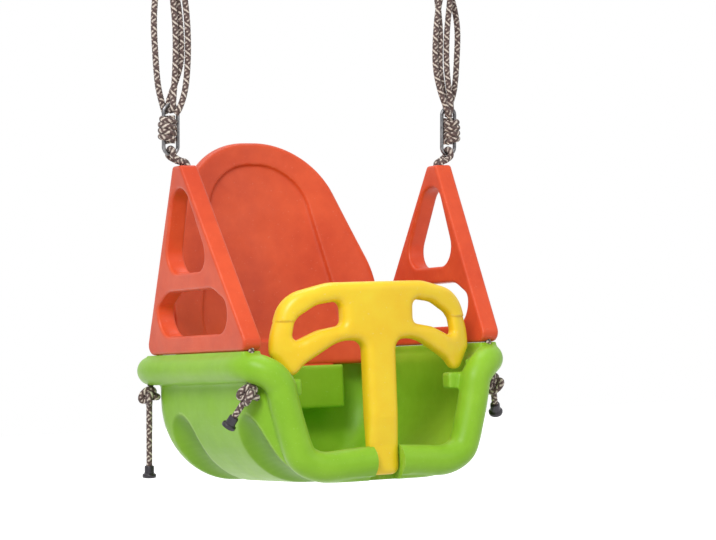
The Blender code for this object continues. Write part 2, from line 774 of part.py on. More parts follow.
def makeStopper(name, side, front, mat):
    bm = bmesh.new()
    bmesh.ops.create_uvsphere(bm, u_segments=16, v_segments=10, radius=1.0)
    centre = world(knotPlace(side, front))
    for vert in bm.verts:
        x, y, z = vert.co
        wide = knotRadius * (1.0 - 0.05 * (1.0 - z * z) * (1.0 + cos(3 * (x + y) * 1.6 + 4 * z)))
        vert.co = Vector((x * wide, y * wide, z * knotHalf))
    bmesh.ops.translate(bm, vec=centre, verts=bm.verts)
    return addObject(name, meshFrom(bm, name), mat)


def makeTail(name, side, front, mat):
    start, way = tailRun(side, front)
    length = frontTail if front else rearTail
    count = 3 if front else 6
    return makeTube(name, [start + way * length * k / count for k in range(count + 1)], mat)


def makeCap(name, side, front, mat):
    """A plain turned cap on the rope's end, wider at its bottom."""
    profile = [(0.0, 0.0), (capRadius - 0.0012, 0.0), (capRadius, -0.0012),
               (capRadius, -capLength * 0.68), (capFlange, -capLength * 0.74),
               (capFlange, -capLength + 0.0015), (capFlange - 0.0015, -capLength), (0.0, -capLength)]
    bm = bmesh.new()
    verts = [bm.verts.new((r, 0, z)) for r, z in profile]
    edges = [bm.edges.new((a, b)) for a, b in zip(verts, verts[1:])]
    bmesh.ops.spin(bm, geom=verts + edges, cent=(0, 0, 0), axis=(0, 0, 1), angle=2 * pi,
                   steps=20, use_merge=True)
    bmesh.ops.remove_doubles(bm, verts=bm.verts, dist=1e-6)
    start, way = tailRun(side, front)
    top = start + way * ((frontTail if front else rearTail) + seatGap)
    turn = Vector((0, 0, -1)).rotation_difference(way).to_matrix().to_4x4()
    bmesh.ops.transform(bm, matrix=Matrix.Translation(top) @ turn, verts=bm.verts)
    return addObject(name, meshFrom(bm, name), mat)


def makeTube(name, route, mat, resolution=2):
    curve = tubeCurve(name, route, ropeRadius, resolution)
    curve.materials.append(mat)
    obj = bpy.data.objects.new(name, curve)
    bpy.context.scene.collection.objects.link(obj)
    return obj


# Backrest

def tongueMesh(grow, above):
    """The tongue under the backrest, or, grown by a clearance, the pocket that takes it."""
    half = tongueHalf + grow
    top = -backBottom + above
    low = -backBottom - tongueDepth - grow
    w = tongueThick / 2 + grow
    columns = 8
    bm = bmesh.new()
    grid = []
    for k in range(columns + 1):
        u = -half + 2 * half * k / columns
        ring = [backPlace(u, top, w), backPlace(u, low, w), backPlace(u, low, -w),
                backPlace(u, top, -w)]
        grid.append([bm.verts.new(p) for p in ring])
    for a, b in zip(grid, grid[1:]):
        for k in range(4):
            bm.faces.new((a[k], a[(k + 1) % 4], b[(k + 1) % 4], b[k]))
    bm.faces.new(grid[0])
    bm.faces.new(grid[-1])
    return meshFrom(bm, "tongue", smooth=False)


def makeBackrest(parent, mat):
    shoulder = 0.34 * backHeight
    outline = mirrored([(-0.54 * backHalf, backHeight, 0.72 * backHalf),
                        (-backHalf, shoulder, 0.9 * backHalf),
                        (-0.965 * backHalf, -backBottom, 0.092 * backHalf)])
    side = backHalf - backSideBorder
    inner = mirrored([(-0.61 * side, backHeight - backTopBorder, 0.69 * side),
                      (-side, 0.54 * shoulder, 0.555 * side), (-side, 0.05 * backHeight, 0.22 * side)])
    cuts = [backHalf * k / 4 for k in range(-3, 4)]
    bm = plate("backrest", rounded(outline, 0.012), [], backThick, backEdge, 0, cuts)
    bend(bm, backPlace)
    obj = addObject("backrest", meshFrom(bm, "backrest"), mat)
    obj.parent = parent
    recess = plate("recess", rounded(inner, 0.012), [], backThick, backEdge / 4, 0, cuts)
    bend(recess, lambda u, v, w: backPlace(u, v, w + backThick - backRecess))
    tongue = cutterFrom(addObject("tongue_guide", tongueMesh(0.0, backBottom * 0.5)))
    cut = cutterFrom(addObject("recess_cut", meshFrom(recess, "recess")))
    for other, operation in ((tongue, 'UNION'), (cut, 'DIFFERENCE')):
        other.parent = parent
        combine(obj, other, operation)
    return obj


# Front guard

def guardCorners():
    """The left half of the plate, as shares of the guard's half width and height, and the post."""
    wing = scaled([(-0.475, 1.053, 0.409), (-0.884, 0.872, 0.311), (-1.0, 0.180, 0.573),
                   (-1.0, -0.060, 0.078), (-0.847, -0.526, 0.078), (-0.720, -0.248, 0.245),
                   (-0.376, 0.128, 0.368)], guardHalf, guardTop)
    post = [(-1.03 * postHalf, 0.09 * guardTop, 0.59 * postHalf),
            (-postHalf, slideGap + lipRise - seatDepth, 0.5 * postHalf)]
    return mirrored(wing + post)


def guardTip():
    """The lowest point of the guard's left end."""
    place = guardPlace(-0.847 * guardHalf, -0.45 * guardTop, 0.0)
    return Vector((place.x, place.y, -0.469 * guardTop))


def makeGuard(parent, mat):
    hole = scaled([(-0.827, 0.090, 0.041), (-0.786, 0.481, 0.131), (-0.589, 0.699, 0.213),
                   (-0.356, 0.759, 0.065), (-0.352, 0.361, 0.057), (-0.573, 0.293, 0.245)],
                  guardHalf, guardTop)
    other = [(-u, v, r) for u, v, r in reversed(hole)]
    cuts = [guardHalf * k / 6 for k in range(-5, 6)]
    bm = plate("front_guard", rounded(guardCorners(), 0.009),
               [rounded(hole, 0.009), rounded(other, 0.009)], guardThick, guardEdge, 1, cuts)
    for share in (0.53, 0.635, 0.74):
        geom = list(bm.verts) + list(bm.edges) + list(bm.faces)
        bmesh.ops.bisect_plane(bm, geom=geom, dist=1e-7, plane_co=(0, -share * seatDepth, 0),
                               plane_no=(0, 1, 0))
    bend(bm, guardPlace)
    obj = addObject("front_guard", meshFrom(bm, "front_guard"), mat)
    obj.parent = parent
    return obj


def main():
    clearScene()
    green = material("green_plastic", (0.30, 0.56, 0.06), 0.35)
    orange = material("orange_plastic", (0.80, 0.13, 0.04), 0.40)
    yellow = material("yellow_plastic", (0.95, 0.62, 0.03), 0.35)
    rope = material("braided_rope", (0.16, 0.09, 0.08), 0.80)
    steel = material("steel", (0.60, 0.60, 0.62), 0.30, 1.0)
    black = material("black_plastic", (0.02, 0.017, 0.022), 0.40)
    seatFrame = bpy.data.objects.new("seat_frame", None)
    seatFrame.matrix_world = seatToWorld
    bpy.context.scene.collection.objects.link(seatFrame)
    makeSeat(seatFrame, green)
    makeBackrest(seatFrame, orange)
    makeGuard(seatFrame, yellow)
    for side in (-1, 1):
        makeSideFrame(side, seatFrame, orange.copy())
        word = "left" if side < 0 else "right"
        makeTube("seat_rope_" + word, smoothRoute(seatRopeRoute(side), 2), rope.copy())
        makeTube("hanging_rope_" + word, smoothRoute(hangingRopeRoute(side), 2), rope.copy())
        makeLink("rope_link_" + word, side, steel.copy())
        makeHitch("hitch_knot_" + word, side, rope.copy())
        makeSpool("eye_spool_" + word, side, black.copy())
        makeRing("hang_ring_" + word, side, steel.copy())
        for front, end in ((True, "front_"), (False, "rear_")):
            makeStopper("stopper_knot_" + end + word, side, front, rope.copy())
            makeTail("rope_tail_" + end + word, side, front, rope.copy())
            makeCap("tail_cap_" + end + word, side, front, black.copy())


main()
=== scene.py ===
import bpy
import bmesh
from math import sin, cos, tan, pi, radians, sqrt, acos, floor
from mathutils import Vector, Matrix

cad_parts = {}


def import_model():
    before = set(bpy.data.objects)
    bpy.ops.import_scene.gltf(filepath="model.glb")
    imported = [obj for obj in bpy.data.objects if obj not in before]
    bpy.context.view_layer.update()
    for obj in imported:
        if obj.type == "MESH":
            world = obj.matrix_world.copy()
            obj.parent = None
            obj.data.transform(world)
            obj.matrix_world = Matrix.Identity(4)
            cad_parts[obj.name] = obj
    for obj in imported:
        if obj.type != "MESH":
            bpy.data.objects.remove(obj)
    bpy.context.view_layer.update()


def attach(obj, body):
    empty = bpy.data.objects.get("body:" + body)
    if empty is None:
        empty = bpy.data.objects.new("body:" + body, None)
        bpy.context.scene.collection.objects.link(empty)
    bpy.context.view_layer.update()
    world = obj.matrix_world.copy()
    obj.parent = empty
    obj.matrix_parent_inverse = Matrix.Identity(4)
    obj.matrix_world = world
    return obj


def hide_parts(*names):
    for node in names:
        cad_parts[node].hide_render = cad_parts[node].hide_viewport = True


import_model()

# The part's own sizes, in metres. The origin is on the axis that the seat swings about.
part = {
    "hangDrop": 0.232, "hangSetback": 0.0110, "seatPitch": radians(5.0), "ropeSplay": 0.011,
    "rollRadius": 0.0165, "railX": 0.150, "rimRear": 0.1555, "rimFront": 0.128, "lipFront": 0.131,
    "rearCorner": 0.030, "frontCorner": 0.026, "seatDepth": 0.1440, "legTopInset": 0.0290, "legLowInset": 0.052,
    "lipRise": 0.005,
    "frameHeight": 0.205, "frameHalfBase": 0.1275, "frameHalfTop": 0.0100, "frameThick": 0.0215,
    "frameFoot": 0.147, "frameLean": 0.0147, "legRopeInset": 0.0053, "footRopeInset": 0.0140,
    "ropeRadius": 0.0035, "gap": 0.0003,
}
rollRadius = part["rollRadius"]
railX = part["railX"]
railZ = -(rollRadius + 0.0006)
lipZ = -(part["seatDepth"] - rollRadius)
frameHeight = part["frameHeight"]
ropeRadius = part["ropeRadius"]
apexX = part["frameFoot"] + part["frameLean"]
ringX = apexX + part["ropeSplay"]
apexWorld = Vector((0.0, -part["hangSetback"], -part["hangDrop"]))
seatToWorld = (Matrix.Translation(apexWorld) @ Matrix.Rotation(-part["seatPitch"], 4, 'X')
               @ Matrix.Translation((0.0, 0.0, -frameHeight)))
sides = ((-1, "left"), (1, "right"))


def world(place):
    return seatToWorld @ Vector(place)


def clamp(value):
    return min(1.0, max(0.0, value))


def linked(name, data):
    obj = bpy.data.objects.new(name, data)
    bpy.context.scene.collection.objects.link(obj)
    return obj


# Camera, matched to the photograph

cameraSettings = {
    "place": (-1.44951, -2.70058, -0.21448),
    "azimuth": -29.2313, "elevation": 2.5144, "roll": 0.1300,
    "lens": 136.95, "sensor": 36.0, "clipEnd": 20.0, "width": 716, "height": 540,
}


def makeCamera(use):
    azimuth, elevation, roll = (radians(use[key]) for key in ("azimuth", "elevation", "roll"))
    look = -Vector((sin(azimuth) * cos(elevation), -cos(azimuth) * cos(elevation), sin(elevation)))
    right = look.cross(Vector((0, 0, 1))).normalized()
    up = right.cross(look)
    right, up = cos(roll) * right + sin(roll) * up, cos(roll) * up - sin(roll) * right
    data = bpy.data.cameras.new("camera")
    data.lens = use["lens"]
    data.sensor_width = use["sensor"]
    data.clip_end = use["clipEnd"]
    data.dof.use_dof = False
    camera = linked("camera", data)
    turn = Matrix((right, up, -look)).transposed()
    camera.matrix_world = Matrix.Translation(use["place"]) @ turn.to_4x4()
    scene = bpy.context.scene
    scene.camera = camera
    scene.render.resolution_x = use["width"]
    scene.render.resolution_y = use["height"]
    scene.view_settings.view_transform = 'Standard'


makeCamera(cameraSettings)
print("camera")


# Node helpers

class Nodes:
    def __init__(self, owner, end="Principled BSDF"):
        owner.use_nodes = True
        self.tree = owner.node_tree
        self.end = self.tree.nodes[end]

    def put(self, socket, value):
        if isinstance(value, bpy.types.NodeSocket):
            self.tree.links.new(value, socket)
        else:
            socket.default_value = (*value, 1.0) if socket.type == 'RGBA' else value

    def add(self, kind, inputs=None, **settings):
        node = self.tree.nodes.new("ShaderNode" + kind)
        for key, value in settings.items():
            setattr(node, key, value)
        for key, value in (inputs or {}).items():
            self.put(node.inputs[key], value)
        return node

    def finish(self, inputs):
        for key, value in inputs.items():
            self.put(self.end.inputs[key], value)

    def math(self, operation, *values):
        return self.add("Math", dict(enumerate(values)), operation=operation).outputs[0]

    def times(self, first, second):
        return self.math('MULTIPLY', first, second)

    def plus(self, first, second):
        return self.math('ADD', first, second)

    def noise(self, where, scale, detail, rough=0.5):
        inputs = {"Vector": where, "Scale": scale, "Detail": detail, "Roughness": rough}
        return self.add("TexNoise", inputs).outputs["Fac"]

    def ramp(self, value, stops):
        node = self.add("ValToRGB", {"Fac": value})
        points = node.color_ramp.elements
        while len(points) < len(stops):
            points.new(0.5)
        for point, (spot, colour) in zip(points, stops):
            point.position = spot
            point.color = (*colour, 1.0)
        return node.outputs["Color"]

    def mix(self, share, first, second, blend='MIX'):
        inputs = {"Fac": share, "Color1": first, "Color2": second}
        return self.add("MixRGB", inputs, blend_type=blend).outputs["Color"]

    def range(self, value, low, high, toLow, toHigh):
        inputs = {"Value": value, "From Min": low, "From Max": high, "To Min": toLow, "To Max": toHigh}
        return self.add("MapRange", inputs).outputs["Result"]

    def attribute(self, name):
        return self.add("Attribute", attribute_name=name).outputs["Fac"]

    def bump(self, height, strength, distance, onto=None):
        inputs = {"Height": height, "Strength": strength, "Distance": distance}
        if onto:
            inputs["Normal"] = onto
        return self.add("Bump", inputs).outputs["Normal"]

    def where(self):
        return self.add("TexCoord").outputs["Object"]


# How fine each pattern is, in turns to the metre
plasticScales = {
    "cloud": 9.0, "gloss": 38.0, "fine": 55.0, "scuff": 130.0, "peel": 260.0, "speck": 420.0, "grain": 900.0,
}
ropeScales = {"fuzz": 1400.0, "fibresPerYarn": 7.0}
steelScales = {"cloud": 60.0, "gloss": 180.0, "spangle": 330.0, "scratch": 1500.0}


def plastic(use):
    material = bpy.data.materials.new(use["name"])
    nodes = Nodes(material)
    scale = plasticScales
    where = nodes.where()
    cloud = nodes.noise(where, scale["cloud"], 4.0, 0.55)
    fine = nodes.noise(where, scale["fine"], 5.0, 0.6)
    blend = nodes.plus(nodes.times(cloud, 0.7), nodes.times(fine, 0.3))
    colour = nodes.mix(nodes.range(blend, 0.35, 0.65, 0.0, 1.0), use["dark"], use["light"])
    speck = nodes.range(nodes.noise(where, scale["speck"], 1.0, 0.4), 0.70, 0.78, 0.0, 0.22)
    scuff = nodes.range(nodes.noise(where, scale["scuff"], 4.0, 0.7), 0.42, 0.62, 0.0, 1.0)
    wear = nodes.times(nodes.range(nodes.attribute("crest"), 0.15, 0.9, 0.0, use["wear"]), scuff)
    # Painted shade: where the surface sinks into a crease it is darkened towards the shade colour
    creaseShade = nodes.range(nodes.attribute("creaseShade"), 0.1, 1.0, 0.0, 0.45)
    flute = nodes.attribute("flute")
    # Painted shade: the flute mark darkens the flute hollows towards the same shade colour
    hollow = nodes.range(flute, 0.0, 1.0, 0.0, 0.92)
    # Painted highlight: a light line along each flute's front edge, mixed towards the same colour as the wear
    highlightLine = nodes.range(nodes.attribute("fluteEdgeHighlight"), 0.0, 1.0, 0.0, 0.45)
    for share, tone in ((speck, "wornAndHighlight"), (wear, "wornAndHighlight"), (creaseShade, "paintedShade"), (hollow, "paintedShade"), (highlightLine, "wornAndHighlight")):
        colour = nodes.mix(share, colour, use[tone])
    rough = nodes.range(nodes.noise(where, scale["gloss"], 4.0, 0.65), 0.3, 0.7, use["rough"] - 0.05,
                        use["rough"] + 0.07)
    normal = nodes.bump(nodes.noise(where, scale["peel"], 2.0), 0.10, 0.0004)
    nodes.finish({
        "Base Color": colour,
        "Roughness": nodes.plus(rough, nodes.times(wear, 0.18)),
        "Normal": nodes.bump(nodes.noise(where, scale["grain"], 2.0), 0.14, 0.00012, normal),
        "Specular IOR Level": nodes.range(flute, 0.0, 1.0, use["specular"], use["specular"] * 0.25),
        "Coat Weight": use["coat"], "Coat Roughness": 0.30,
        "Subsurface Weight": use["glow"], "Subsurface Radius": (0.006, 0.003, 0.0015), "Subsurface Scale": 0.6,
        "Sheen Weight": use["haze"], "Sheen Roughness": 0.45,
    })
    return material


def ropeCloth(use):
    material = bpy.data.materials.new(use["name"])
    nodes = Nodes(material)
    spot = nodes.add("SeparateXYZ", {0: nodes.add("TexCoord").outputs["UV"]}).outputs
    lay = nodes.times(spot["Y"], 1.0 / use["pitch"])
    fibres = use["yarns"] * ropeScales["fibresPerYarn"]
    rise, fall = (nodes.math('FRACT', nodes.times(nodes.math(turn, spot["X"], lay), fibres))
                  for turn in ('ADD', 'SUBTRACT'))
    way = nodes.attribute("way")
    fibre = nodes.plus(nodes.times(rise, way), nodes.times(fall, nodes.math('SUBTRACT', 1.0, way)))
    ridge = nodes.math('SINE', nodes.times(fibre, pi))
    fuzz = nodes.noise(nodes.where(), ropeScales["fuzz"], 4.0, 0.7)
    shade = nodes.range(nodes.plus(nodes.times(ridge, 0.6), nodes.times(fuzz, 0.4)), 0.1, 0.9, 0.68, 1.0)
    colour = nodes.mix(1.0, nodes.ramp(nodes.attribute("tone"), use["tones"]), shade, 'MULTIPLY')
    # Painted shade in the grooves between yarns, where the crest mark is low
    grooveShade = nodes.range(nodes.attribute("crest"), 0.0, 0.50, 0.60, 0.0)
    height = nodes.plus(nodes.times(ridge, 0.5), nodes.times(fuzz, 0.6))
    nodes.finish({
        "Base Color": nodes.mix(grooveShade, colour, use["grooveShade"]),
        "Roughness": nodes.range(fuzz, 0.3, 0.7, 0.62, 0.86),
        "Normal": nodes.bump(height, 0.55, 0.00035),
        "Specular IOR Level": 0.3, "Sheen Weight": 0.25, "Sheen Roughness": 0.5,
    })
    return material


def steelBar(use):
    material = bpy.data.materials.new(use["name"])
    nodes = Nodes(material)
    scale = steelScales
    where = nodes.where()
    spangle = nodes.add("TexVoronoi", {"Vector": where, "Scale": scale["spangle"]}).outputs["Distance"]
    blend = nodes.plus(nodes.noise(where, scale["cloud"], 5.0, 0.6), nodes.times(spangle, 0.5))
    nodes.finish({
        "Base Color": nodes.mix(nodes.range(blend, 0.45, 0.95, 0.0, 1.0), use["dark"], use["light"]),
        "Metallic": 1.0,
        "Roughness": nodes.range(nodes.noise(where, scale["gloss"], 4.0, 0.7), 0.3, 0.7, 0.24, 0.46),
        "Normal": nodes.bump(nodes.noise(where, scale["scratch"], 2.0, 0.6), 0.12, 0.00008),
    })
    return material


# Mesh helpers

def smoothRoute(points, perSpan, closed=False):
    pts = [Vector(p) for p in points]
    count = len(pts)

    def at(i):
        if closed:
            return pts[i % count]
        if i < 0:
            return pts[0] * 2 - pts[1]
        if i >= count:
            return pts[-1] * 2 - pts[-2]
        return pts[i]

    route = []
    for i in range(count if closed else count - 1):
        p = [at(i - 1), at(i), at(i + 1), at(i + 2)]
        knots = [0.0]
        for k in range(3):
            knots.append(knots[-1] + max((p[k + 1] - p[k]).length, 1e-6) ** 0.5)
        for step in range(perSpan):
            t = knots[1] + (knots[2] - knots[1]) * step / perSpan
            a = [p[k].lerp(p[k + 1], (t - knots[k]) / (knots[k + 1] - knots[k])) for k in range(3)]
            b = [a[k].lerp(a[k + 1], (t - knots[k]) / (knots[k + 2] - knots[k])) for k in range(2)]
            route.append(b[0].lerp(b[1], (t - knots[1]) / (knots[2] - knots[1])))
    if not closed:
        route.append(pts[-1])
    return route


def evenRoute(route, step, closed=False):
    points = list(route) + ([route[0]] if closed else [])
    total = sum((b - a).length for a, b in zip(points, points[1:]))
    count = max(2, round(total / step))
    out = []
    target = 0.0
    run = 0.0
    spacing = total / count
    for a, b in zip(points, points[1:]):
        span = (b - a).length
        while len(out) < count and target <= run + span and span > 0:
            out.append(a.lerp(b, (target - run) / span))
            target += spacing
        run += span
    if not closed:
        out.append(points[-1].copy())
    return out, spacing


def tubeCurve(name, route, radius, resolution, closed=False, caps=True):
    curve = bpy.data.curves.new(name, 'CURVE')
    curve.dimensions = '3D'
    curve.bevel_depth = radius
    curve.bevel_resolution = resolution
    curve.use_fill_caps = caps and not closed
    spline = curve.splines.new('POLY')
    spline.points.add(len(route) - 1)
    for point, place in zip(spline.points, route):
        point.co = (*place, 1.0)
    spline.use_cyclic_u = closed
    return curve


def meshFrom(bm, name):
    mesh = bpy.data.meshes.new(name)
    bm.to_mesh(mesh)
    bm.free()
    return mesh


def evaluated(obj):
    bpy.context.view_layer.update()
    return bpy.data.meshes.new_from_object(obj.evaluated_get(bpy.context.evaluated_depsgraph_get()))


def meshOf(data):
    holder = linked(data.name, data)
    mesh = evaluated(holder)
    bpy.data.objects.remove(holder, do_unlink=True)
    return mesh


def bmOf(data):
    bm = bmesh.new()
    bm.from_mesh(meshOf(data))
    bmesh.ops.remove_doubles(bm, verts=bm.verts, dist=1e-6)
    return bm


def faceOut(bm):
    bmesh.ops.recalc_face_normals(bm, faces=bm.faces)
    if bm.calc_volume(signed=True) < 0:
        bmesh.ops.reverse_faces(bm, faces=bm.faces)


def finishMesh(bm, name, sharp=None):
    faceOut(bm)
    mesh = meshFrom(bm, name)
    mesh.shade_smooth()
    if sharp:
        mesh.set_sharp_from_angle(angle=radians(sharp))
    return mesh


def place(name, mesh, material, body, slot, nodes):
    obj = linked(name, mesh)
    mesh.materials.clear()
    mesh.materials.append(material)
    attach(obj, body)
    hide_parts(*nodes)
    return obj


def rounded(corners, step=0.003):
    outline = []
    count = len(corners)
    for i, (u, v, radius) in enumerate(corners):
        here = Vector((u, v))
        back = (Vector(corners[i - 1][:2]) - here).normalized()
        ahead = (Vector(corners[(i + 1) % count][:2]) - here).normalized()
        half = acos(max(-1.0, min(1.0, back.dot(ahead)))) / 2
        reach = radius / tan(half)
        middle = here + (back + ahead).normalized() * (radius / sin(half))
        start = here + back * reach - middle
        turn = pi - 2 * half
        if start.cross(here + ahead * reach - middle) < 0:
            turn = -turn
        steps = max(3, round(abs(turn) * radius / step))
        for k in range(steps + 1):
            angle = turn * k / steps
            outline.append((middle.x + start.x * cos(angle) - start.y * sin(angle),
                            middle.y + start.x * sin(angle) + start.y * cos(angle)))
    return outline


def mirrored(corners):
    return corners + [(-u, v, r) for u, v, r in reversed(corners)]


def area(outline):
    return sum(a[0] * b[1] - b[0] * a[1] for a, b in zip(outline, outline[1:] + outline[:1])) / 2


def plate(name, outline, holes, thickness, edge, edgeSteps):
    curve = bpy.data.curves.new(name, 'CURVE')
    curve.dimensions = '2D'
    curve.fill_mode = 'BOTH'
    curve.extrude = thickness / 2 - edge
    curve.bevel_depth = edge
    curve.bevel_resolution = edgeSteps
    curve.offset = -edge
    for ring, turn in [(outline, 1)] + [(hole, -1) for hole in holes]:
        if area(ring) * turn < 0:
            ring = ring[::-1]
        spline = curve.splines.new('POLY')
        spline.points.add(len(ring) - 1)
        for point, spot in zip(spline.points, ring):
            point.co = (*spot, 0.0, 1.0)
        spline.use_cyclic_u = True
    return bmOf(curve)


def boxBm(low, high):
    bm = bmesh.new()
    bmesh.ops.create_cube(bm, size=1.0)
    bmesh.ops.scale(bm, vec=Vector(high) - Vector(low), verts=bm.verts)
    bmesh.ops.translate(bm, vec=(Vector(high) + Vector(low)) / 2, verts=bm.verts)
    return bm


def joined(parts):
    whole = bmesh.new()
    for bm in parts:
        faceOut(bm)
        mesh = meshFrom(bm, "piece")
        whole.from_mesh(mesh)
        bpy.data.meshes.remove(mesh)
    return whole


def spun(profile, steps, closed=False):
    bm = bmesh.new()
    verts = [bm.verts.new((r, 0, z)) for r, z in profile]
    edges = [bm.edges.new(pair) for pair in zip(verts, verts[1:] + verts[:1] * closed)]
    bmesh.ops.spin(bm, geom=verts + edges, cent=(0, 0, 0), axis=(0, 0, 1), angle=2 * pi, steps=steps,
                   use_merge=True)
    bmesh.ops.remove_doubles(bm, verts=bm.verts, dist=1e-6)
    return bm


def markPoints(mesh, marks):
    for key, values in marks.items():
        mesh.attributes.new(key, 'FLOAT', 'POINT').data.foreach_set("value", values)


# How sharply the surface bends at each point: crest where it stands out, and a mark where it sinks that the
# plastic uses to paint shade into creases
def markCurvature(mesh, reach):
    bm = bmesh.new()
    bm.from_mesh(mesh)
    bm.normal_update()
    crest = []
    creaseShade = []
    for vert in bm.verts:
        total = 0.0
        length = 0.0
        for edge in vert.link_edges:
            way = edge.other_vert(vert).co - vert.co
            size = way.length
            if size > 1e-7:
                total += -vert.normal.dot(way) / size
                length += size
        count = max(1, len(vert.link_edges))
        bend = (total / count) / max(length / count, 1e-6) * reach
        crest.append(clamp(bend))
        creaseShade.append(clamp(-bend))
    bm.free()
    markPoints(mesh, {"crest": crest, "creaseShade": creaseShade})


# Ropes

ropeSettings = {
    "radius": 0.0034, "step": 0.00066, "resolution": 13, "pitch": 0.0155, "yarns": 6, "relief": 0.15,
}
ropeLook = {
    "pitch": ropeSettings["pitch"], "yarns": ropeSettings["yarns"],
    "tones": ((0.0, (0.055, 0.032, 0.030)), (0.30, (0.130, 0.080, 0.073)),
              (0.62, (0.26, 0.175, 0.155)), (1.0, (0.92, 0.81, 0.69))),
    # the next colour is painted shade for the grooves between yarns
    "grooveShade": (0.034, 0.020, 0.019),
}
yarnTones = {"rise": (1.0, 0.22, 0.45, 0.92, 0.18, 0.40), "fall": (0.30, 0.96, 0.25, 0.50, 0.20, 0.98)}


def legY(z):
    slope = (part["frameHalfBase"] - part["frameHalfTop"]) / frameHeight
    return part["frameHalfBase"] - part["legRopeInset"] - slope * z


def frameX(z, side):
    return side * (part["frameFoot"] + part["frameLean"] * z / frameHeight)


legSettings = {
    "kneeOut": 0.008, "toeIn": 0.0145, "kneeBend": 0.0060, "toeBend": 0.0012, "footRise": 0.002,
    "shares": (0.10, 0.32, 0.55, 0.78, 0.86), "topShare": 0.95, "topHalf": 0.0064, "exitHalf": 0.0050,
    "exitRise": 0.003,
}
knotSettings = {
    "drop": 0.0013, "half": 0.0115, "radius": 0.0118, "out": 0.0020,
    "ring": 0.0052, "weave": 0.0031, "rise": 0.0079, "points": 90,
}
kneeY = part["frameHalfBase"] + legSettings["kneeOut"]
toeY = -(part["frameHalfBase"] - legSettings["toeIn"])


# From the stopper knot under the rim, up through the leg to the top of the side frame
def legRoute(side, front):
    use = legSettings
    sign, start, bend = (-1, toeY, use["toeBend"]) if front else (1, kneeY, use["kneeBend"])
    below = railZ - rollRadius - knotSettings["drop"] + 3 * part["gap"]
    foot = part["frameHalfBase"] - part["footRopeInset"]
    route = [(side * railX, start, below), (side * railX, start - bend, below * 0.5),
             (frameX(0.0, side), sign * foot, use["footRise"])]
    for share in use["shares"]:
        z = frameHeight * share
        route.append((frameX(z, side), sign * legY(z), z))
    z = frameHeight * use["topShare"]
    return route + [(frameX(z, side), sign * use["topHalf"], z),
                    (frameX(frameHeight, side), sign * use["exitHalf"], frameHeight + use["exitRise"])]


hanging = {
    "linkOut": 0.0148, "linkBack": 0.0040, "linkLow": 0.0128, "linkHeight": 0.054, "linkHalf": 0.0085,
    "linkWire": 0.0021, "hitchRise": 0.0270, "hitchHalfZ": 0.0162, "slackOut": 0.0310,
    "strand": 0.0073, "spoolRadius": 0.0102, "spoolFlange": 0.0138,
}


def hung(side, out, y, z):
    return Vector((side * (apexX + out), y - part["hangSetback"], z - part["hangDrop"]))


def bight(turn):
    radius = hanging["linkWire"] + ropeRadius + 2 * part["gap"]
    steps = [radians(a) for a in (-12, 22, 56, 90, 124, 158, 192)]
    return [(radius * cos(a), turn * radius * sin(a)) for a in steps]


def seatRopeRoute(side):
    linkOut = hanging["linkOut"]
    linkBack = hanging["linkBack"]
    linkLow = hanging["linkLow"]
    rear = [world(p) for p in legRoute(side, False)]
    front = [world(p) for p in legRoute(side, True)]
    over = [hung(side, linkOut, linkBack + y, linkLow + z) for y, z in bight(1)]
    lead, tail = ([hung(side, linkOut * 0.50, linkBack * 0.6 + y, linkLow * 0.50)] for y in (0.0058, -0.0058))
    return rear + lead + over + tail + front[::-1]


def hangingRopeRoute(side):
    linkOut = hanging["linkOut"]
    linkBack = hanging["linkBack"]
    slackOut = hanging["slackOut"]
    strand = hanging["strand"]
    turn = hanging["spoolRadius"] + part["gap"] + ropeRadius
    lane = ropeRadius + part["gap"]
    back = part["hangSetback"]
    top = part["hangDrop"]
    high = hanging["linkLow"] + hanging["linkHeight"]
    knotTop = hanging["linkLow"] + hanging["hitchRise"] + hanging["hitchHalfZ"]

    def over(out, frontFirst):
        sign = -1 if frontFirst else 1
        steps = [radians(a) for a in (-8, 24, 57, 90, 123, 156, 188)]
        arc = [(out, back + sign * turn * cos(a), top + turn * sin(a)) for a in steps]
        below = [(out, back + s * turn * 0.93, top - hanging["spoolFlange"] * 1.2) for s in (sign, -sign)]
        return [below[0]] + arc + [below[1]]

    outer = part["ropeSplay"] + lane
    inner = part["ropeSplay"] - lane
    points = [(linkOut + 0.0030, linkBack + 0.0074, knotTop + 0.0003),
              (linkOut + 0.0065, linkBack + 0.0080, knotTop + 0.012),
              (slackOut * 0.86, 0.0108, top * 0.375), (slackOut * 0.97, 0.0108, top * 0.53),
              (slackOut, 0.0120, top * 0.70), (slackOut * 0.80, 0.0170, top * 0.85)]
    points += over(outer, False)
    points += [(strand * 1.9, 0.0004, top * 0.80), (strand * 1.46, 0.0008, top * 0.65),
               (strand * 1.46, 0.0006, top * 0.48)]
    points += [(linkOut, linkBack - y, high + z) for y, z in bight(-1)]
    points += [(strand * 0.46, 0.0034, top * 0.48), (strand * 0.46, 0.0034, top * 0.65),
               (strand * 0.6, 0.0110, top * 0.80)]
    points += over(inner, False)
    points += [(0.0, 0.0004, top * 0.80), (-strand * 0.54, 0.0008, top * 0.65),
               (-strand * 0.54, 0.0006, top * 0.48), (linkOut * 0.12, -0.0036, top * 0.345),
               (linkOut * 0.62, linkBack - 0.0094, knotTop + 0.0060),
               (linkOut * 0.84, linkBack - 0.0074, knotTop + 0.0003)]
    return [hung(side, *p) for p in points]


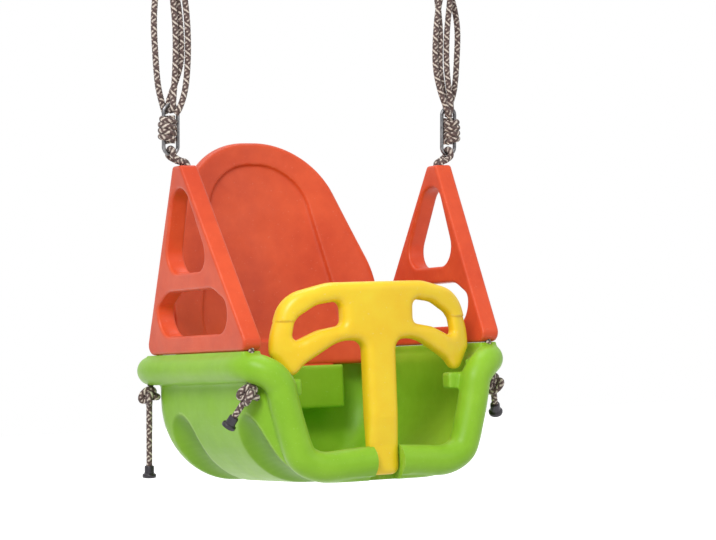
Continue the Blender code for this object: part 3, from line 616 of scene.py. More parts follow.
def braid(name, route, closed=False, radius=None):
    use = ropeSettings
    step = use["step"] * 1.0
    points, spacing = evenRoute(route, step, closed)
    around = 4 + 2 * use["resolution"]
    mesh = meshOf(tubeCurve(name, points, radius or use["radius"], use["resolution"], closed, False))
    rings = len(points)
    tones = []
    ways = []
    crests = []
    for vert in mesh.vertices:
        ring = vert.index // around
        share = (vert.index % around) / around
        lay = ring * spacing / use["pitch"]
        rise = (share + lay) * use["yarns"]
        fall = (share - lay) * use["yarns"]
        upper = (floor(rise) + floor(fall)) % 2 == 0
        a = rise - floor(rise) - 0.5
        b = fall - floor(fall) - 0.5
        across, along = (a, b) if upper else (b, a)
        hump = clamp(sqrt(max(0.0, 1 - (2.05 * across) ** 2)) * (1 - 0.9 * (2 * along) ** 4))
        centre = points[ring]
        vert.co = centre + (vert.co - centre) * (1 + use["relief"] * (hump - 0.78))
        index = floor(rise) if upper else floor(fall)
        tones.append(yarnTones["rise" if upper else "fall"][index % use["yarns"]])
        ways.append(1.0 if upper else 0.0)
        crests.append(hump)
    markPoints(mesh, {"tone": tones, "way": ways, "crest": crests})
    layer = mesh.uv_layers.new(name="lay")
    for face in mesh.polygons:
        corners = [mesh.loops[i].vertex_index for i in face.loop_indices]
        shares = [(c % around) / around for c in corners]
        wide = max(shares) - min(shares) > 0.5
        for loop, corner, share in zip(face.loop_indices, corners, shares):
            layer.data[loop].uv = (share + (1.0 if wide and share < 0.5 else 0.0),
                                   (corner // around) * spacing)
    if not closed:
        bm = bmesh.new()
        bm.from_mesh(mesh)
        bmesh.ops.holes_fill(bm, edges=[e for e in bm.edges if e.is_boundary])
        bm.to_mesh(mesh)
        bm.free()
    mesh.shade_smooth()
    return mesh


ropeMaterials = {}
for slotName in ("braided_rope", "rope_knot", "rope_tail"):
    ropeMaterials[slotName] = ropeCloth(dict(ropeLook, name=slotName + "_cloth"))


def declare(route):
    path = [tuple(p) for p in evenRoute(route, 0.004)[0]]


for side, word in sides:
    route = smoothRoute(hangingRopeRoute(side), 6)
    obj = place("hangingRope_" + word, braid("hangingRope_" + word, route), ropeMaterials["braided_rope"],
                "seat", "braided_rope", ["hanging_rope_" + word])
    declare(route)
    route = smoothRoute(seatRopeRoute(side), 6)
    obj = place("seatRope_" + word, braid("seatRope_" + word, route), ropeMaterials["braided_rope"],
                "seat", "braided_rope", ["seat_rope_" + word])
    declare(route)
print("long ropes")


# Knots, tails and their caps

tailSettings = {"rearTail": 0.066, "frontTail": 0.016, "intoCap": 0.008}
capSettings = {"radius": 0.0054, "flange": 0.0078, "length": 0.0140, "sides": 64}


def knotPlace(side, front):
    use = knotSettings
    y = toeY if front else kneeY
    return Vector((side * (railX + use["out"]), y, railZ - rollRadius - use["drop"] - use["half"]))


def tailRun(side, front):
    radius, half = knotSettings["radius"], knotSettings["half"]
    way = Vector((side * 0.36, 0.42, -0.83)).normalized() if front else Vector((0.0, 0.0, -1.0))
    reach = 1 / sqrt((way.x ** 2 + way.y ** 2) / radius ** 2 + way.z ** 2 / half ** 2)
    return world(knotPlace(side, front)) + way * (reach + part["gap"]), way


def overhand(centre, turn):
    use = knotSettings
    route = []
    for k in range(use["points"]):
        angle = 2 * pi * k / use["points"]
        out = use["ring"] + use["weave"] * cos(3 * angle)
        route.append(centre + turn @ Vector((out * cos(2 * angle), out * sin(2 * angle),
                                             -use["rise"] * sin(3 * angle))))
    return route


def cap(side, front):
    use = capSettings
    radius, flange, length = use["radius"], use["flange"], use["length"]
    profile = [(0.0, 0.0), (radius - 0.0014, 0.0), (radius - 0.0004, -0.0004), (radius, -0.0014),
               (radius, -length * 0.50), (radius + 0.0003, -length * 0.62), (flange - 0.0004, -length * 0.70),
               (flange, -length * 0.75), (flange, -length + 0.0012), (flange - 0.0004, -length + 0.0003),
               (flange - 0.0014, -length), (flange - 0.0030, -length), (flange - 0.0034, -length + 0.0010),
               (0.0, -length + 0.0010)]
    bm = spun(profile, use["sides"])
    start, way = tailRun(side, front)
    top = start + way * (tailSettings["frontTail" if front else "rearTail"] + part["gap"])
    turn = Vector((0, 0, -1)).rotation_difference(way).to_matrix().to_4x4()
    bmesh.ops.transform(bm, matrix=Matrix.Translation(top) @ turn, verts=bm.verts)
    return finishMesh(bm, "cap", 40)


capPlastic = plastic({
    "name": "capPlastic", "dark": (0.012, 0.008, 0.013), "light": (0.030, 0.022, 0.034),
    "wornAndHighlight": (0.10, 0.08, 0.11), "paintedShade": (0.005, 0.004, 0.006), "wear": 0.5, "rough": 0.36,
    "specular": 0.5, "coat": 0.1, "glow": 0.0, "haze": 0.0,
})
knotTurns = {
    (-1, True): (70, 25, 10), (-1, False): (62, -20, 40), (1, True): (70, 25, 60), (1, False): (62, -20, 15),
}
for side, word in sides:
    for front, end in ((True, "front"), (False, "rear")):
        tag = end + "_" + word
        centre = world(knotPlace(side, front))
        tilt, lean, spin = (radians(a) for a in knotTurns[(side, front)])
        turn = Matrix.Rotation(spin, 3, 'Z') @ Matrix.Rotation(tilt, 3, 'X') @ Matrix.Rotation(lean, 3, 'Y')
        place("stopperKnot_" + tag, braid("stopperKnot_" + tag, overhand(centre, turn), closed=True),
              ropeMaterials["rope_knot"], "seat", "rope_knot", ["stopper_knot_" + tag])
        capPiece = place("tailCap_" + tag, cap(side, front), capPlastic, "seat", "black_cap",
                         ["tail_cap_" + tag])
        start, way = tailRun(side, front)
        run = tailSettings["frontTail" if front else "rearTail"] + tailSettings["intoCap"]
        top = world(knotPlace(side, front) + Vector((0, 0, knotSettings["half"])))
        route = smoothRoute([top, centre, start, start + way * run * 0.5, start + way * run], 6)
        tail = place("ropeTail_" + tag, braid("ropeTail_" + tag, route), ropeMaterials["rope_tail"],
                     "seat", "rope_tail", ["rope_tail_" + tag])
        declare(route)
print("knots and tails")


# Hitch knots, links, spools and rings

hitchSettings = {"turns": 4, "points": 34, "innerX": 0.0071, "innerY": 0.0074, "shift": 0.0040, "core": 0.0036}
linkSettings = {"points": 72, "resolution": 6}
ringSettings = {"bar": 0.0040, "half": 0.019, "bend": 0.007, "rise": 0.018, "resolution": 7}
spoolSettings = {"half": 0.0100, "bore": 0.0044, "lip": 0.0021, "sides": 72}


def hitch(side):
    use = hitchSettings
    middle = hung(side, hanging["linkOut"], hanging["linkBack"], hanging["linkLow"] + hanging["hitchRise"])
    height = 2 * (hanging["hitchHalfZ"] - ropeRadius)
    count = use["turns"] * use["points"]
    route = []
    for k in range(count + 1):
        angle = 2 * pi * k / use["points"] + pi / 2
        tuck = 1.0 - 0.35 * max(0.0, abs(2 * k / count - 1) - 0.75) * 4
        across = side * (use["shift"] + use["innerX"] * cos(angle) * tuck)
        route.append(middle + Vector((across, use["innerY"] * sin(angle) * tuck, height * (k / count - 0.5))))
    coil = braid("coil", route)
    reach = hanging["hitchHalfZ"] - 0.001
    cores = [braid("core", [middle + Vector((0, y, z)) for z in (-reach, 0, reach)])
             for y in (-use["core"], use["core"])]
    bm = bmesh.new()
    for mesh in [coil] + cores:
        bm.from_mesh(mesh)
    bm.to_mesh(coil)
    bm.free()
    coil.shade_smooth()
    return coil


def link(side):
    use = hanging
    route = []
    count = linkSettings["points"]
    for k in range(count):
        angle = 2 * pi * (k + 0.5) / count
        rise = use["linkLow"] + (use["linkHalf"] if sin(angle) < 0 else use["linkHeight"] - use["linkHalf"])
        route.append(hung(side, use["linkOut"] + use["linkHalf"] * cos(angle), use["linkBack"],
                          rise + use["linkHalf"] * sin(angle)))
    bm = bmOf(tubeCurve("link", route, use["linkWire"], linkSettings["resolution"], closed=True))
    return finishMesh(bm, "link")


def ring(side):
    use = ringSettings
    foot = use["half"] - use["bend"]
    route = []
    for x, z, radius, first, count in ((foot, use["bend"], use["bend"], 270, 13),
                                       (0.0, use["rise"], use["half"], 0, 37),
                                       (-foot, use["bend"], use["bend"], 180, 13)):
        for k in range(count):
            angle = radians(first + (90 if count == 13 else 180) * k / (count - 1))
            route.append(Vector((side * ringX + x + radius * cos(angle), 0.0, z + radius * sin(angle))))
    bm = bmOf(tubeCurve("ring", route, use["bar"], use["resolution"], closed=True))
    return finishMesh(bm, "ring")


def spool(side):
    use = spoolSettings
    half, bore = use["half"], use["bore"]
    flange, core = hanging["spoolFlange"], hanging["spoolRadius"]
    lip = half - use["lip"]
    profile = [(flange - 0.0010, half), (flange - 0.0003, half - 0.0003), (flange, half - 0.0010),
               (flange - 0.0002, lip + 0.0002), (flange - 0.0009, lip), (core + 0.0006, lip - 0.0002),
               (core, lip - 0.0009)]
    profile += [(r, -z) for r, z in reversed(profile)]
    profile += [(bore + 0.0018, -half), (bore + 0.0012, -half + 0.0008), (bore, -half + 0.0008)]
    profile += [(r, -z) for r, z in reversed(profile[-3:])]
    bm = spun(profile, use["sides"], closed=True)
    turn = Matrix.Translation((side * ringX, 0, 0)) @ Matrix.Rotation(pi / 2, 4, 'Y')
    bmesh.ops.transform(bm, matrix=turn, verts=bm.verts)
    return finishMesh(bm, "spool", 40)


linkSteel = steelBar({"name": "linkSteel", "dark": (0.10, 0.10, 0.105), "light": (0.26, 0.255, 0.26)})
ringSteel = steelBar({"name": "ringSteel", "dark": (0.36, 0.36, 0.37), "light": (0.70, 0.70, 0.71)})
spoolPlastic = plastic({
    "name": "spoolPlastic", "dark": (0.010, 0.010, 0.011), "light": (0.028, 0.028, 0.030),
    "wornAndHighlight": (0.09, 0.09, 0.09), "paintedShade": (0.004, 0.004, 0.004), "wear": 0.6, "rough": 0.40,
    "specular": 0.5, "coat": 0.05, "glow": 0.0, "haze": 0.0,
})
for side, word in sides:
    place("hitchKnot_" + word, hitch(side), ropeMaterials["rope_knot"], "seat", "rope_knot",
          ["hitch_knot_" + word])
    place("ropeLink_" + word, link(side), linkSteel, "seat", "steel_link", ["rope_link_" + word])
    place("eyeSpool_" + word, spool(side), spoolPlastic, "seat", "black_spool", ["eye_spool_" + word])
    place("hangRing_" + word, ring(side), ringSteel, "hangers", "steel_ring", ["hang_ring_" + word])
print("steel and spools")


# Seat

seatSettings = {
    "voxel": 0.00185, "smoothing": 5, "wallThick": 0.010, "bucketHalf": 0.1455, "bucketRear": 0.1530,
    "bucketFront": 0.131, "rearCorner": 0.045, "frontCorner": 0.045, "turnDepth": 0.090,
    "turnInset": 0.081, "rearInset": 0.6, "hollowWall": 0.0122, "levels": 16,
    "fluteWidth": 0.060, "fluteDepth": 0.0090, "fluteRearY": 0.074, "fluteFrontY": -0.091,
    "fluteTop": -0.055, "fluteInside": 0.05, "fluteRun": (
        (4, -1.5), (12, -0.5), (17, 0.15), (23, 0.75), (32, 1.0), (46, 1.0), (62, 1.0), (76, 0.8), (90, 0.35)),
    "landWidth": 0.022, "pocketWall": 0.006, "slotWall": 0.009, "slotLip": 0.0045, "slotMouth": 0.0165,
    "slide": 0.0006, "ropeGap": 0.0007, "channelGap": 0.0003,
}
backSettings = {
    "thick": 0.016, "foot": 0.123, "recline": 0.135, "bend": 0.300, "height": 0.245, "half": 0.1345,
    "bottom": 0.018, "edge": 0.0055, "recess": 0.0045, "topBorder": 0.026, "sideBorder": 0.0445,
    "tongueHalf": 0.075, "tongueThick": 0.012, "tongueDepth": 0.044, "voxel": 0.0014, "smoothing": 5,
}
guardSettings = {
    "thick": 0.023, "edge": 0.0092, "top": 0.0665, "planeY": -0.1265, "bow": 0.0185, "half": 0.1222,
    "postHalf": 0.0185, "footThick": 0.015, "voxel": 0.0012, "smoothing": 4,
}


def rimRoute():
    top = railX - part["legTopInset"]
    low = railX - part["legLowInset"]
    turn, rearCorner, rimRear, rimFront, lipFront, lipRise = (
        part[key] for key in ("frontCorner", "rearCorner", "rimRear", "rimFront", "lipFront", "lipRise"))
    straight = railX - rearCorner
    start = railZ - 0.413 * turn
    left = [(0.0, rimRear, railZ), (-straight * 0.55, rimRear, railZ), (-straight, rimRear, railZ),
            (-(railX - rearCorner * 0.293), rimRear - rearCorner * 0.293, railZ),
            (-railX, rimRear - rearCorner, railZ), (-railX, rimRear * 0.35, railZ),
            (-railX, -rimFront * 0.35, railZ)]
    for across, back, fall in ((0.0, 1.0, 0.0), (0.142, 0.516, 0.045), (0.458, 0.219, 0.181),
                               (0.803, 0.052, 0.413)):
        left.append((-railX + across * turn, -rimFront + back * turn, railZ - fall * turn))
    for share, fall in ((0.0, 0.106), (0.13, 0.251), (0.33, 0.441), (0.53, 0.606), (0.72, 0.750), (1.0, 0.881)):
        left.append((-(top * (1 - share) + low * share), -rimFront, start + (lipZ - start) * fall))
    left += [(-low * 0.80, -(rimFront * 0.9 + lipFront * 0.1), start + (lipZ - start) * 0.980),
             (-low * 0.42, -(rimFront * 0.35 + lipFront * 0.65), lipZ + 0.6 * lipRise)]
    return left + [(0.0, -lipFront, lipZ + lipRise)] + [(-x, y, z) for x, y, z in reversed(left[1:])]


def wallInset(height):
    use = seatSettings
    start = part["seatDepth"] - use["turnDepth"]
    if -height <= start:
        return 0.0
    rise = min(1.0, (-height - start) / use["turnDepth"])
    return use["turnInset"] * (1.0 - sqrt(max(0.0, 1.0 - rise * rise)))


def bucketRing(height, inset, thick):
    use = seatSettings
    shrink = 1.0 - 0.85 * inset / use["turnInset"]
    half = use["bucketHalf"] - inset - thick
    rear = use["bucketRear"] - use["rearInset"] * inset - thick
    front = -(use["bucketFront"] - thick)
    rearR = max(use["rearCorner"] * shrink - thick, 0.004)
    frontR = max(use["frontCorner"] * (0.55 + 0.45 * shrink) - thick, 0.004)
    ring = []
    for x, y, radius, start in ((-half, rear, rearR, 90), (-half, front, frontR, 180),
                                (half, front, frontR, 270), (half, rear, rearR, 0)):
        cx = x + radius if x < 0 else x - radius
        cy = y - radius if y > 0 else y + radius
        for k in range(13):
            angle = radians(start + 90 * k / 12)
            ring.append((cx + radius * cos(angle), cy + radius * sin(angle), height))
    return ring


def loft(rings):
    bm = bmesh.new()
    loops = []
    for ring in rings:
        verts = [bm.verts.new(p) for p in ring]
        loops.append([bm.edges.new((a, b)) for a, b in zip(verts, verts[1:] + verts[:1])])
    for a, b in zip(loops, loops[1:]):
        bmesh.ops.bridge_loops(bm, edges=a + b)
    for loop in (loops[0], loops[-1]):
        bmesh.ops.edgeloop_fill(bm, edges=loop)
    bm.normal_update()
    bmesh.ops.triangulate(bm, faces=[f for f in bm.faces if len(f.verts) > 4])
    return bm


def bucketSolids():
    use = seatSettings
    levels = use["levels"]
    start = part["seatDepth"] - use["turnDepth"]
    floorZ = -(part["seatDepth"] - use["wallThick"])
    outer = [(railZ, 0.0)]
    for k in range(levels + 1):
        height = -(start + use["turnDepth"] * sin(pi / 2 * k / levels))
        outer.append((height, wallInset(height)))
    body = loft([bucketRing(height, inset, 0.0) for height, inset in outer])
    inner = [bucketRing(railZ + 0.004, 0.0, use["hollowWall"])]
    for height, inset in outer:
        depth = (height - railZ) / (-part["seatDepth"] - railZ)
        inner.append(bucketRing(railZ + depth * (floorZ - railZ), inset * 0.93, use["hollowWall"]))
    return body, loft(inner)


def legOpening():
    turn = part["frontCorner"]
    route = smoothRoute(rimRoute(), 6, closed=True)
    left = [p for p in route if p.y < -part["rimFront"] + 0.58 * turn and p.x < 0
            and p.z < railZ - 0.016 * turn]
    outline = [(p.x, p.z) for p in left]
    outline = [(outline[0][0], 1.2 * rollRadius)] + outline
    outline += [(-u, v) for u, v in reversed(outline)]
    front = -(part["lipFront"] + 3 * rollRadius)
    back = -seatSettings["bucketFront"] + 1.6 * seatSettings["wallThick"]
    return loft([[(u, y, v) for u, v in outline] for y in (front, back)])


def fluteRadius():
    width, depth = seatSettings["fluteWidth"], seatSettings["fluteDepth"]
    return (width ** 2 / 4 + depth ** 2) / (2 * depth)


def fluteRoute(side, y, perSpan):
    use = seatSettings
    start = part["seatDepth"] - use["turnDepth"]
    route = []
    for degrees, share in use["fluteRun"]:
        angle = radians(degrees)
        x = use["bucketHalf"] - use["turnInset"] * (1 - cos(angle))
        z = -(start + use["turnDepth"] * sin(angle))
        normal = Vector((use["turnDepth"] * cos(angle), -use["turnInset"] * sin(angle))).normalized()
        reach = fluteRadius() - use["fluteDepth"] * share
        route.append(Vector((side * (x + normal.x * reach), y, z + normal.y * reach)))
    return smoothRoute(route, perSpan)


def backPlace(u, v, w):
    use = backSettings
    y = use["foot"] + use["thick"] / 2 + use["recline"] * v - w - u * u / (2 * use["bend"])
    return Vector((u, y, v))


def guardPlace(u, v, w):
    use = guardSettings
    end = clamp((abs(u) / use["half"] - 0.696) / 0.245) if v < 0.45 * use["top"] else 0.0
    foot = clamp((-v / part["seatDepth"] - 0.53) / 0.21)
    thin = 1.0 - (1.0 - use["footThick"] / use["thick"]) * max(foot, 0.85 * end)
    return Vector((u, use["planeY"] + use["bow"] * (u / use["half"]) ** 2 - w * thin, v))


def scaled(corners, across, up):
    return [(u * across, v * up, r * across) for u, v, r in corners]


def tongue(grow, above):
    use = backSettings
    half = use["tongueHalf"] + grow
    top = -use["bottom"] + above
    low = -use["bottom"] - use["tongueDepth"] - grow
    w = use["tongueThick"] / 2 + grow
    columns = 24
    rings = []
    for k in range(columns + 1):
        u = -half + 2 * half * k / columns
        rings.append([backPlace(u, top, w), backPlace(u, low, w), backPlace(u, low, -w),
                      backPlace(u, top, -w)])
    return loft(rings)


def postCut():
    use = guardSettings
    half = use["postHalf"] + seatSettings["slide"]
    top = -0.6 * part["seatDepth"]
    low = -part["seatDepth"] - rollRadius / 2
    w = use["thick"] / 2 + seatSettings["slide"] / (use["footThick"] / use["thick"])
    outline = [(-half, top), (-half, low), (half, low), (half, top)]
    return loft([[guardPlace(u, v, d) for u, v in outline] for d in (w, -w)])


def legRun(side, front, low, high):
    route = smoothRoute(seatRopeRoute(side), 4)
    if front:
        route = route[::-1]
    inverse = seatToWorld.inverted()
    half = [inverse @ p for p in route[:len(route) // 2]]
    return [p for p in half if low < p.z < high]


def difference(obj, bm):
    cut = obj.modifiers.new("cut", 'BOOLEAN')
    cut.operation = 'DIFFERENCE'
    cut.solver = 'EXACT'
    cut.object = linked("cut", meshFrom(bm, "cut"))
    return cut.object


def shaped(bm, before=(), voxel=0.0, smoothing=0, after=()):
    obj = linked("shape", meshFrom(bm, "shape"))
    cutters = [difference(obj, cut) for cut in before]
    if voxel:
        remesh = obj.modifiers.new("remesh", 'REMESH')
        remesh.mode = 'VOXEL'
        remesh.voxel_size = voxel * 1.0
        soft = obj.modifiers.new("soft", 'SMOOTH')
        soft.factor = 0.5
        soft.iterations = smoothing
    cutters += [difference(obj, cut) for cut in after]
    out = evaluated(obj)
    for other in cutters + [obj]:
        bpy.data.objects.remove(other, do_unlink=True)
    result = bmesh.new()
    result.from_mesh(out)
    bpy.data.meshes.remove(out)
    return result


# Painted shade where the walls sink into a flute, darkest towards its front, and a painted highlight line along
# its front edge
def markFlutes(bm, spots):
    use = seatSettings
    width = use["fluteWidth"]
    radius = fluteRadius()
    flute = bm.verts.layers.float.new("flute")
    edge = bm.verts.layers.float.new("fluteEdgeHighlight")
    runs = [(side, y, fluteRoute(side, y, 3)) for side, y in spots]
    for vert in bm.verts:
        here = vert.co
        if here.z > use["fluteTop"] or abs(here.x) < use["fluteInside"]:
            continue
        for side, y, run in runs:
            if side * here.x > 0 and abs(here.y - y) < width * 0.55:
                away = min((here - p).length for p in run) - radius
                ahead = clamp(0.5 - (here.y - y) / width)
                # Painted shade inside the hollow, stronger towards the front
                vert[flute] = max(vert[flute], clamp(1.0 - away / 0.0012) * (0.30 + 0.70 * ahead))
                # Painted highlight along the flute's front edge, just outside the hollow
                if ahead > 0.5:
                    vert[edge] = max(vert[edge], 1.0 - abs(away - 0.0014) / 0.0010)


def seatMesh():
    use = seatSettings
    body, hollow = bucketSolids()
    spots = [(side, y) for side in (-1, 1) for y in (use["fluteRearY"], use["fluteFrontY"])]
    flutes = [bmOf(tubeCurve("flute", fluteRoute(side, y, 4), fluteRadius(), 40)) for side, y in spots]
    shell = shaped(body, before=[hollow, legOpening()] + flutes)
    roll = tubeCurve("roll", smoothRoute(rimRoute(), 8, closed=True), rollRadius, 12, closed=True)
    parts = [shell, bmOf(roll)]
    frameFoot, halfBase = part["frameFoot"], part["frameHalfBase"]
    holes = []
    for side in (-1, 1):
        x = side * frameFoot
        parts.append(boxBm((x - use["landWidth"] / 2, -0.906 * halfBase, railZ),
                           (x + use["landWidth"] / 2, halfBase, 0.0)))
        tip = guardPlace(-0.847 * guardSettings["half"], -0.45 * guardSettings["top"], 0.0)
        low = -0.469 * guardSettings["top"]
        ends = (side * (tip.x + 0.758 * rollRadius), side * (tip.x - 0.273 * rollRadius))
        parts.append(boxBm((min(ends), tip.y - 0.485 * rollRadius, low - 1.09 * rollRadius),
                           (max(ends), tip.y + 0.485 * rollRadius, low - part["gap"])))
        for front in (True, False):
            run = legRun(side, front, -part["seatDepth"], 0.016)
            below = run[0] + (run[0] - run[1]).normalized() * rollRadius
            holes.append(bmOf(tubeCurve("hole", [below] + run, ropeRadius + use["ropeGap"], 8)))
    pocketTop = -backSettings["bottom"] - part["gap"]
    pocketLow = -backSettings["bottom"] - backSettings["tongueDepth"] - use["pocketWall"]
    wide = backSettings["tongueHalf"] + use["pocketWall"]
    pocketY = backPlace(backSettings["tongueHalf"], pocketLow, backSettings["thick"] / 2).y - use["pocketWall"]
    parts.append(boxBm((-wide, pocketY, pocketLow), (wide, use["bucketRear"] - use["wallThick"] / 2, pocketTop)))
    y = guardSettings["planeY"]
    reach = guardSettings["footThick"] / 2 + use["slide"]
    half = guardSettings["postHalf"] + use["slotWall"]
    depth = part["seatDepth"]
    rise = part["lipRise"]
    parts.append(boxBm((-half, y - reach - use["slotLip"], rise - depth),
                       (half, y + reach + 0.67 * use["slotWall"], lipZ + rise + rollRadius * 0.9)))
    mouth = boxBm((-use["slotMouth"], y - 2.4 * rollRadius, -depth - rollRadius),
                  (use["slotMouth"], y, lipZ + 1.6 * rollRadius))
    seat = shaped(joined(parts), voxel=use["voxel"], smoothing=use["smoothing"],
                  after=[joined(holes + [tongue(use["slide"], backSettings["bottom"] * 0.5)]), postCut(),
                         mouth])
    markFlutes(seat, spots)
    return seat


def finishPart(name, bm, reach, sharp=None):
    bmesh.ops.transform(bm, matrix=seatToWorld, verts=bm.verts)
    mesh = finishMesh(bm, name, sharp)
    markCurvature(mesh, reach)
    return mesh


# The green plastic's darkest tone is the painted shade for creases and flute hollows; its palest tone serves
# both for wear and for the painted highlight along the flute edges
greenPlastic = plastic({
    "name": "greenPlastic", "dark": (0.225, 0.490, 0.012), "light": (0.310, 0.600, 0.030),
    "wornAndHighlight": (0.50, 0.72, 0.20), "paintedShade": (0.095, 0.245, 0.001), "wear": 0.30, "rough": 0.42,
    "specular": 0.32, "coat": 0.04, "glow": 0.04, "haze": 0.05,
})
place("bucketSeat", finishPart("bucketSeat", seatMesh(), 0.006, 40), greenPlastic, "seat",
      "green_plastic", ["bucket_seat"])
print("seat")


# Side frames

frameSettings = {"edge": 0.0026, "edgeSteps": 2, "voxel": 0.0011, "smoothing": 3}


def sideFrame(side):
    use = frameSettings
    half, height, halfTop = part["frameHalfBase"], frameHeight, part["frameHalfTop"]
    outer = mirrored([(-halfTop, height, 0.4 * halfTop), (-half, 0.0, 0.078 * half)])
    upper = mirrored([(-0.459, 0.429, 0.165)]) + [(0.0, 1.034, 0.188)]
    lower = mirrored([(-0.440, 0.336, 0.30), (-0.672, 0.262, 0.10), (-0.672, 0.095, 0.20)])
    holes = [rounded(scaled(hole, half, height)) for hole in (upper, lower)]
    bm = plate("frame", rounded(outer), holes, part["frameThick"], use["edge"], use["edgeSteps"])
    bm = shaped(bm, voxel=use["voxel"], smoothing=use["smoothing"])
    for vert in bm.verts:
        u, v, w = vert.co
        vert.co = (frameX(v, side) + w, u, v + part["gap"])
    channels = []
    for front in (True, False):
        run = legRun(side, front, -0.012, height + 0.0085)
        channels.append(bmOf(tubeCurve("channel", run, ropeRadius + seatSettings["channelGap"], 9)))
    return shaped(bm, after=[joined(channels)])


framePlastic = plastic({
    "name": "framePlastic", "dark": (0.670, 0.056, 0.010), "light": (0.850, 0.100, 0.024),
    "wornAndHighlight": (0.92, 0.36, 0.22), "paintedShade": (0.36, 0.020, 0.004), "wear": 0.28, "rough": 0.40,
    "specular": 0.36, "coat": 0.04, "glow": 0.02, "haze": 0.10,
})
for side, word in sides:
    place("sideFrame_" + word, finishPart("sideFrame_" + word, sideFrame(side), 0.004), framePlastic,
          "seat", "orange_frame", ["side_frame_" + word])
print("side frames")


# Backrest

def backMesh():
    use = backSettings
    half, height, bottom = use["half"], use["height"], use["bottom"]
    shoulder = 0.34 * height
    outline = mirrored([(-0.54 * half, height, 0.72 * half), (-half, shoulder, 0.9 * half),
                        (-0.965 * half, -bottom, 0.092 * half)])
    inside = half - use["sideBorder"]
    inner = mirrored([(-0.61 * inside, height - use["topBorder"], 0.69 * inside),
                      (-inside, 0.54 * shoulder, 0.555 * inside), (-inside, 0.05 * height, 0.22 * inside)])
    bm = plate("back", rounded(outline), [], use["thick"], use["edge"], 3)
    recess = plate("recess", rounded(inner), [], use["thick"], 0.003, 2)
    bmesh.ops.translate(recess, vec=(0, 0, use["thick"] - use["recess"]), verts=recess.verts)
    bm = shaped(bm, before=[recess], voxel=use["voxel"], smoothing=use["smoothing"])
    for vert in bm.verts:
        vert.co = backPlace(*vert.co)
    return joined([bm, tongue(0.0, 0.012)])


backPlastic = plastic({
    "name": "backPlastic", "dark": (0.660, 0.060, 0.012), "light": (0.840, 0.106, 0.027),
    "wornAndHighlight": (0.90, 0.34, 0.22), "paintedShade": (0.36, 0.022, 0.006), "wear": 0.24, "rough": 0.42,
    "specular": 0.40, "coat": 0.04, "glow": 0.02, "haze": 0.02,
})
place("backrest", finishPart("backrest", backMesh(), 0.006), backPlastic, "back", "orange_backrest",
      ["backrest"])
print("backrest")


# Front guard

def guardMesh():
    use = guardSettings
    half, top, post = use["half"], use["top"], use["postHalf"]
    wing = scaled([(-0.475, 1.053, 0.409), (-0.884, 0.872, 0.311), (-1.0, 0.180, 0.573),
                   (-1.0, -0.060, 0.078), (-0.847, -0.526, 0.078), (-0.720, -0.248, 0.245),
                   (-0.376, 0.128, 0.368)], half, top)
    stem = [(-1.03 * post, 0.09 * top, 0.59 * post),
            (-post, seatSettings["slide"] + part["lipRise"] - part["seatDepth"], 0.5 * post)]
    hole = scaled([(-0.827, 0.090, 0.041), (-0.786, 0.481, 0.131), (-0.589, 0.699, 0.213),
                   (-0.356, 0.759, 0.065), (-0.352, 0.361, 0.057), (-0.573, 0.293, 0.245)], half, top)
    other = [(-u, v, r) for u, v, r in reversed(hole)]
    bm = plate("guard", rounded(mirrored(wing + stem)), [rounded(hole), rounded(other)], use["thick"],
               use["edge"], 5)
    bm = shaped(bm, voxel=use["voxel"], smoothing=use["smoothing"])
    for vert in bm.verts:
        vert.co = guardPlace(*vert.co)
    return bm


guardPlastic = plastic({
    "name": "guardPlastic", "dark": (0.955, 0.590, 0.010), "light": (0.990, 0.720, 0.026),
    "wornAndHighlight": (1.0, 0.86, 0.42), "paintedShade": (0.84, 0.30, 0.003), "wear": 0.25, "rough": 0.36,
    "specular": 0.42, "coat": 0.08, "glow": 0.04, "haze": 0.0,
})
place("frontGuard", finishPart("frontGuard", guardMesh(), 0.005), guardPlastic, "guard",
      "yellow_plastic", ["front_guard"])
print("front guard")


# Floor, light and background

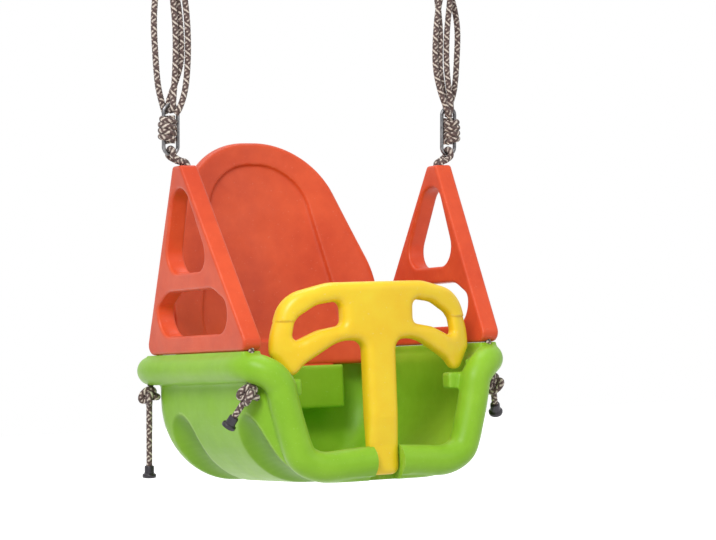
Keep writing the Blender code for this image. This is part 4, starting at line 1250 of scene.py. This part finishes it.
stageSettings = {
    "floorZ": -0.86, "size": 6.0, "floorDark": 0.62, "floorPale": 0.66, "floorGlow": 0.90, "skyStrength": 0.48,
}


def backgroundRay(nodes):
    path = nodes.add("LightPath").outputs
    seen = nodes.math('MAXIMUM', path["Is Camera Ray"], path["Is Glossy Ray"])
    return nodes.math('MAXIMUM', seen, path["Is Transmission Ray"])


def makeFloor(use):
    bm = bmesh.new()
    bmesh.ops.create_grid(bm, x_segments=2, y_segments=2, size=use["size"] / 2)
    bmesh.ops.translate(bm, vec=(0, 0, use["floorZ"]), verts=bm.verts)
    mesh = meshFrom(bm, "floor")
    material = bpy.data.materials.new("floor")
    nodes = Nodes(material)
    cloud = nodes.noise(nodes.where(), 2.0, 2.0)
    nodes.finish({
        "Base Color": nodes.range(cloud, 0.3, 0.7, use["floorDark"], use["floorPale"]),
        "Roughness": 0.9, "Specular IOR Level": 0.1, "Emission Color": (1.0, 1.0, 1.0),
        "Emission Strength": nodes.times(backgroundRay(nodes), use["floorGlow"]),
    })
    mesh.materials.append(material)
    linked("floor", mesh)


def makeSky(use):
    sky = bpy.data.worlds.new("sky")
    bpy.context.scene.world = sky
    nodes = Nodes(sky, "Background")
    nodes.finish({
        "Color": (1.0, 1.0, 1.0),
        "Strength": nodes.range(backgroundRay(nodes), 0.0, 1.0, use["skyStrength"], 1.0),
    })


lamps = [
    {"name": "key", "place": (-1.6, -1.5, 1.3), "size": 1.0, "power": 41},
    {"name": "fill", "place": (1.3, -1.8, 0.6), "size": 1.4, "power": 5},
    {"name": "top", "place": (0.1, 0.5, 1.6), "size": 1.2, "power": 13},
]


def makeLamp(use):
    data = bpy.data.lights.new(use["name"], 'AREA')
    data.shape = 'SQUARE'
    data.size = use["size"]
    data.energy = use["power"]
    lamp = linked(use["name"], data)
    spot = Vector(use["place"])
    aim = (Vector((0, 0, -0.40)) - spot).to_track_quat('-Z', 'Y')
    lamp.matrix_world = Matrix.Translation(spot) @ aim.to_matrix().to_4x4()


makeFloor(stageSettings)
makeSky(stageSettings)
for lamp in lamps:
    makeLamp(lamp)
print("stage")
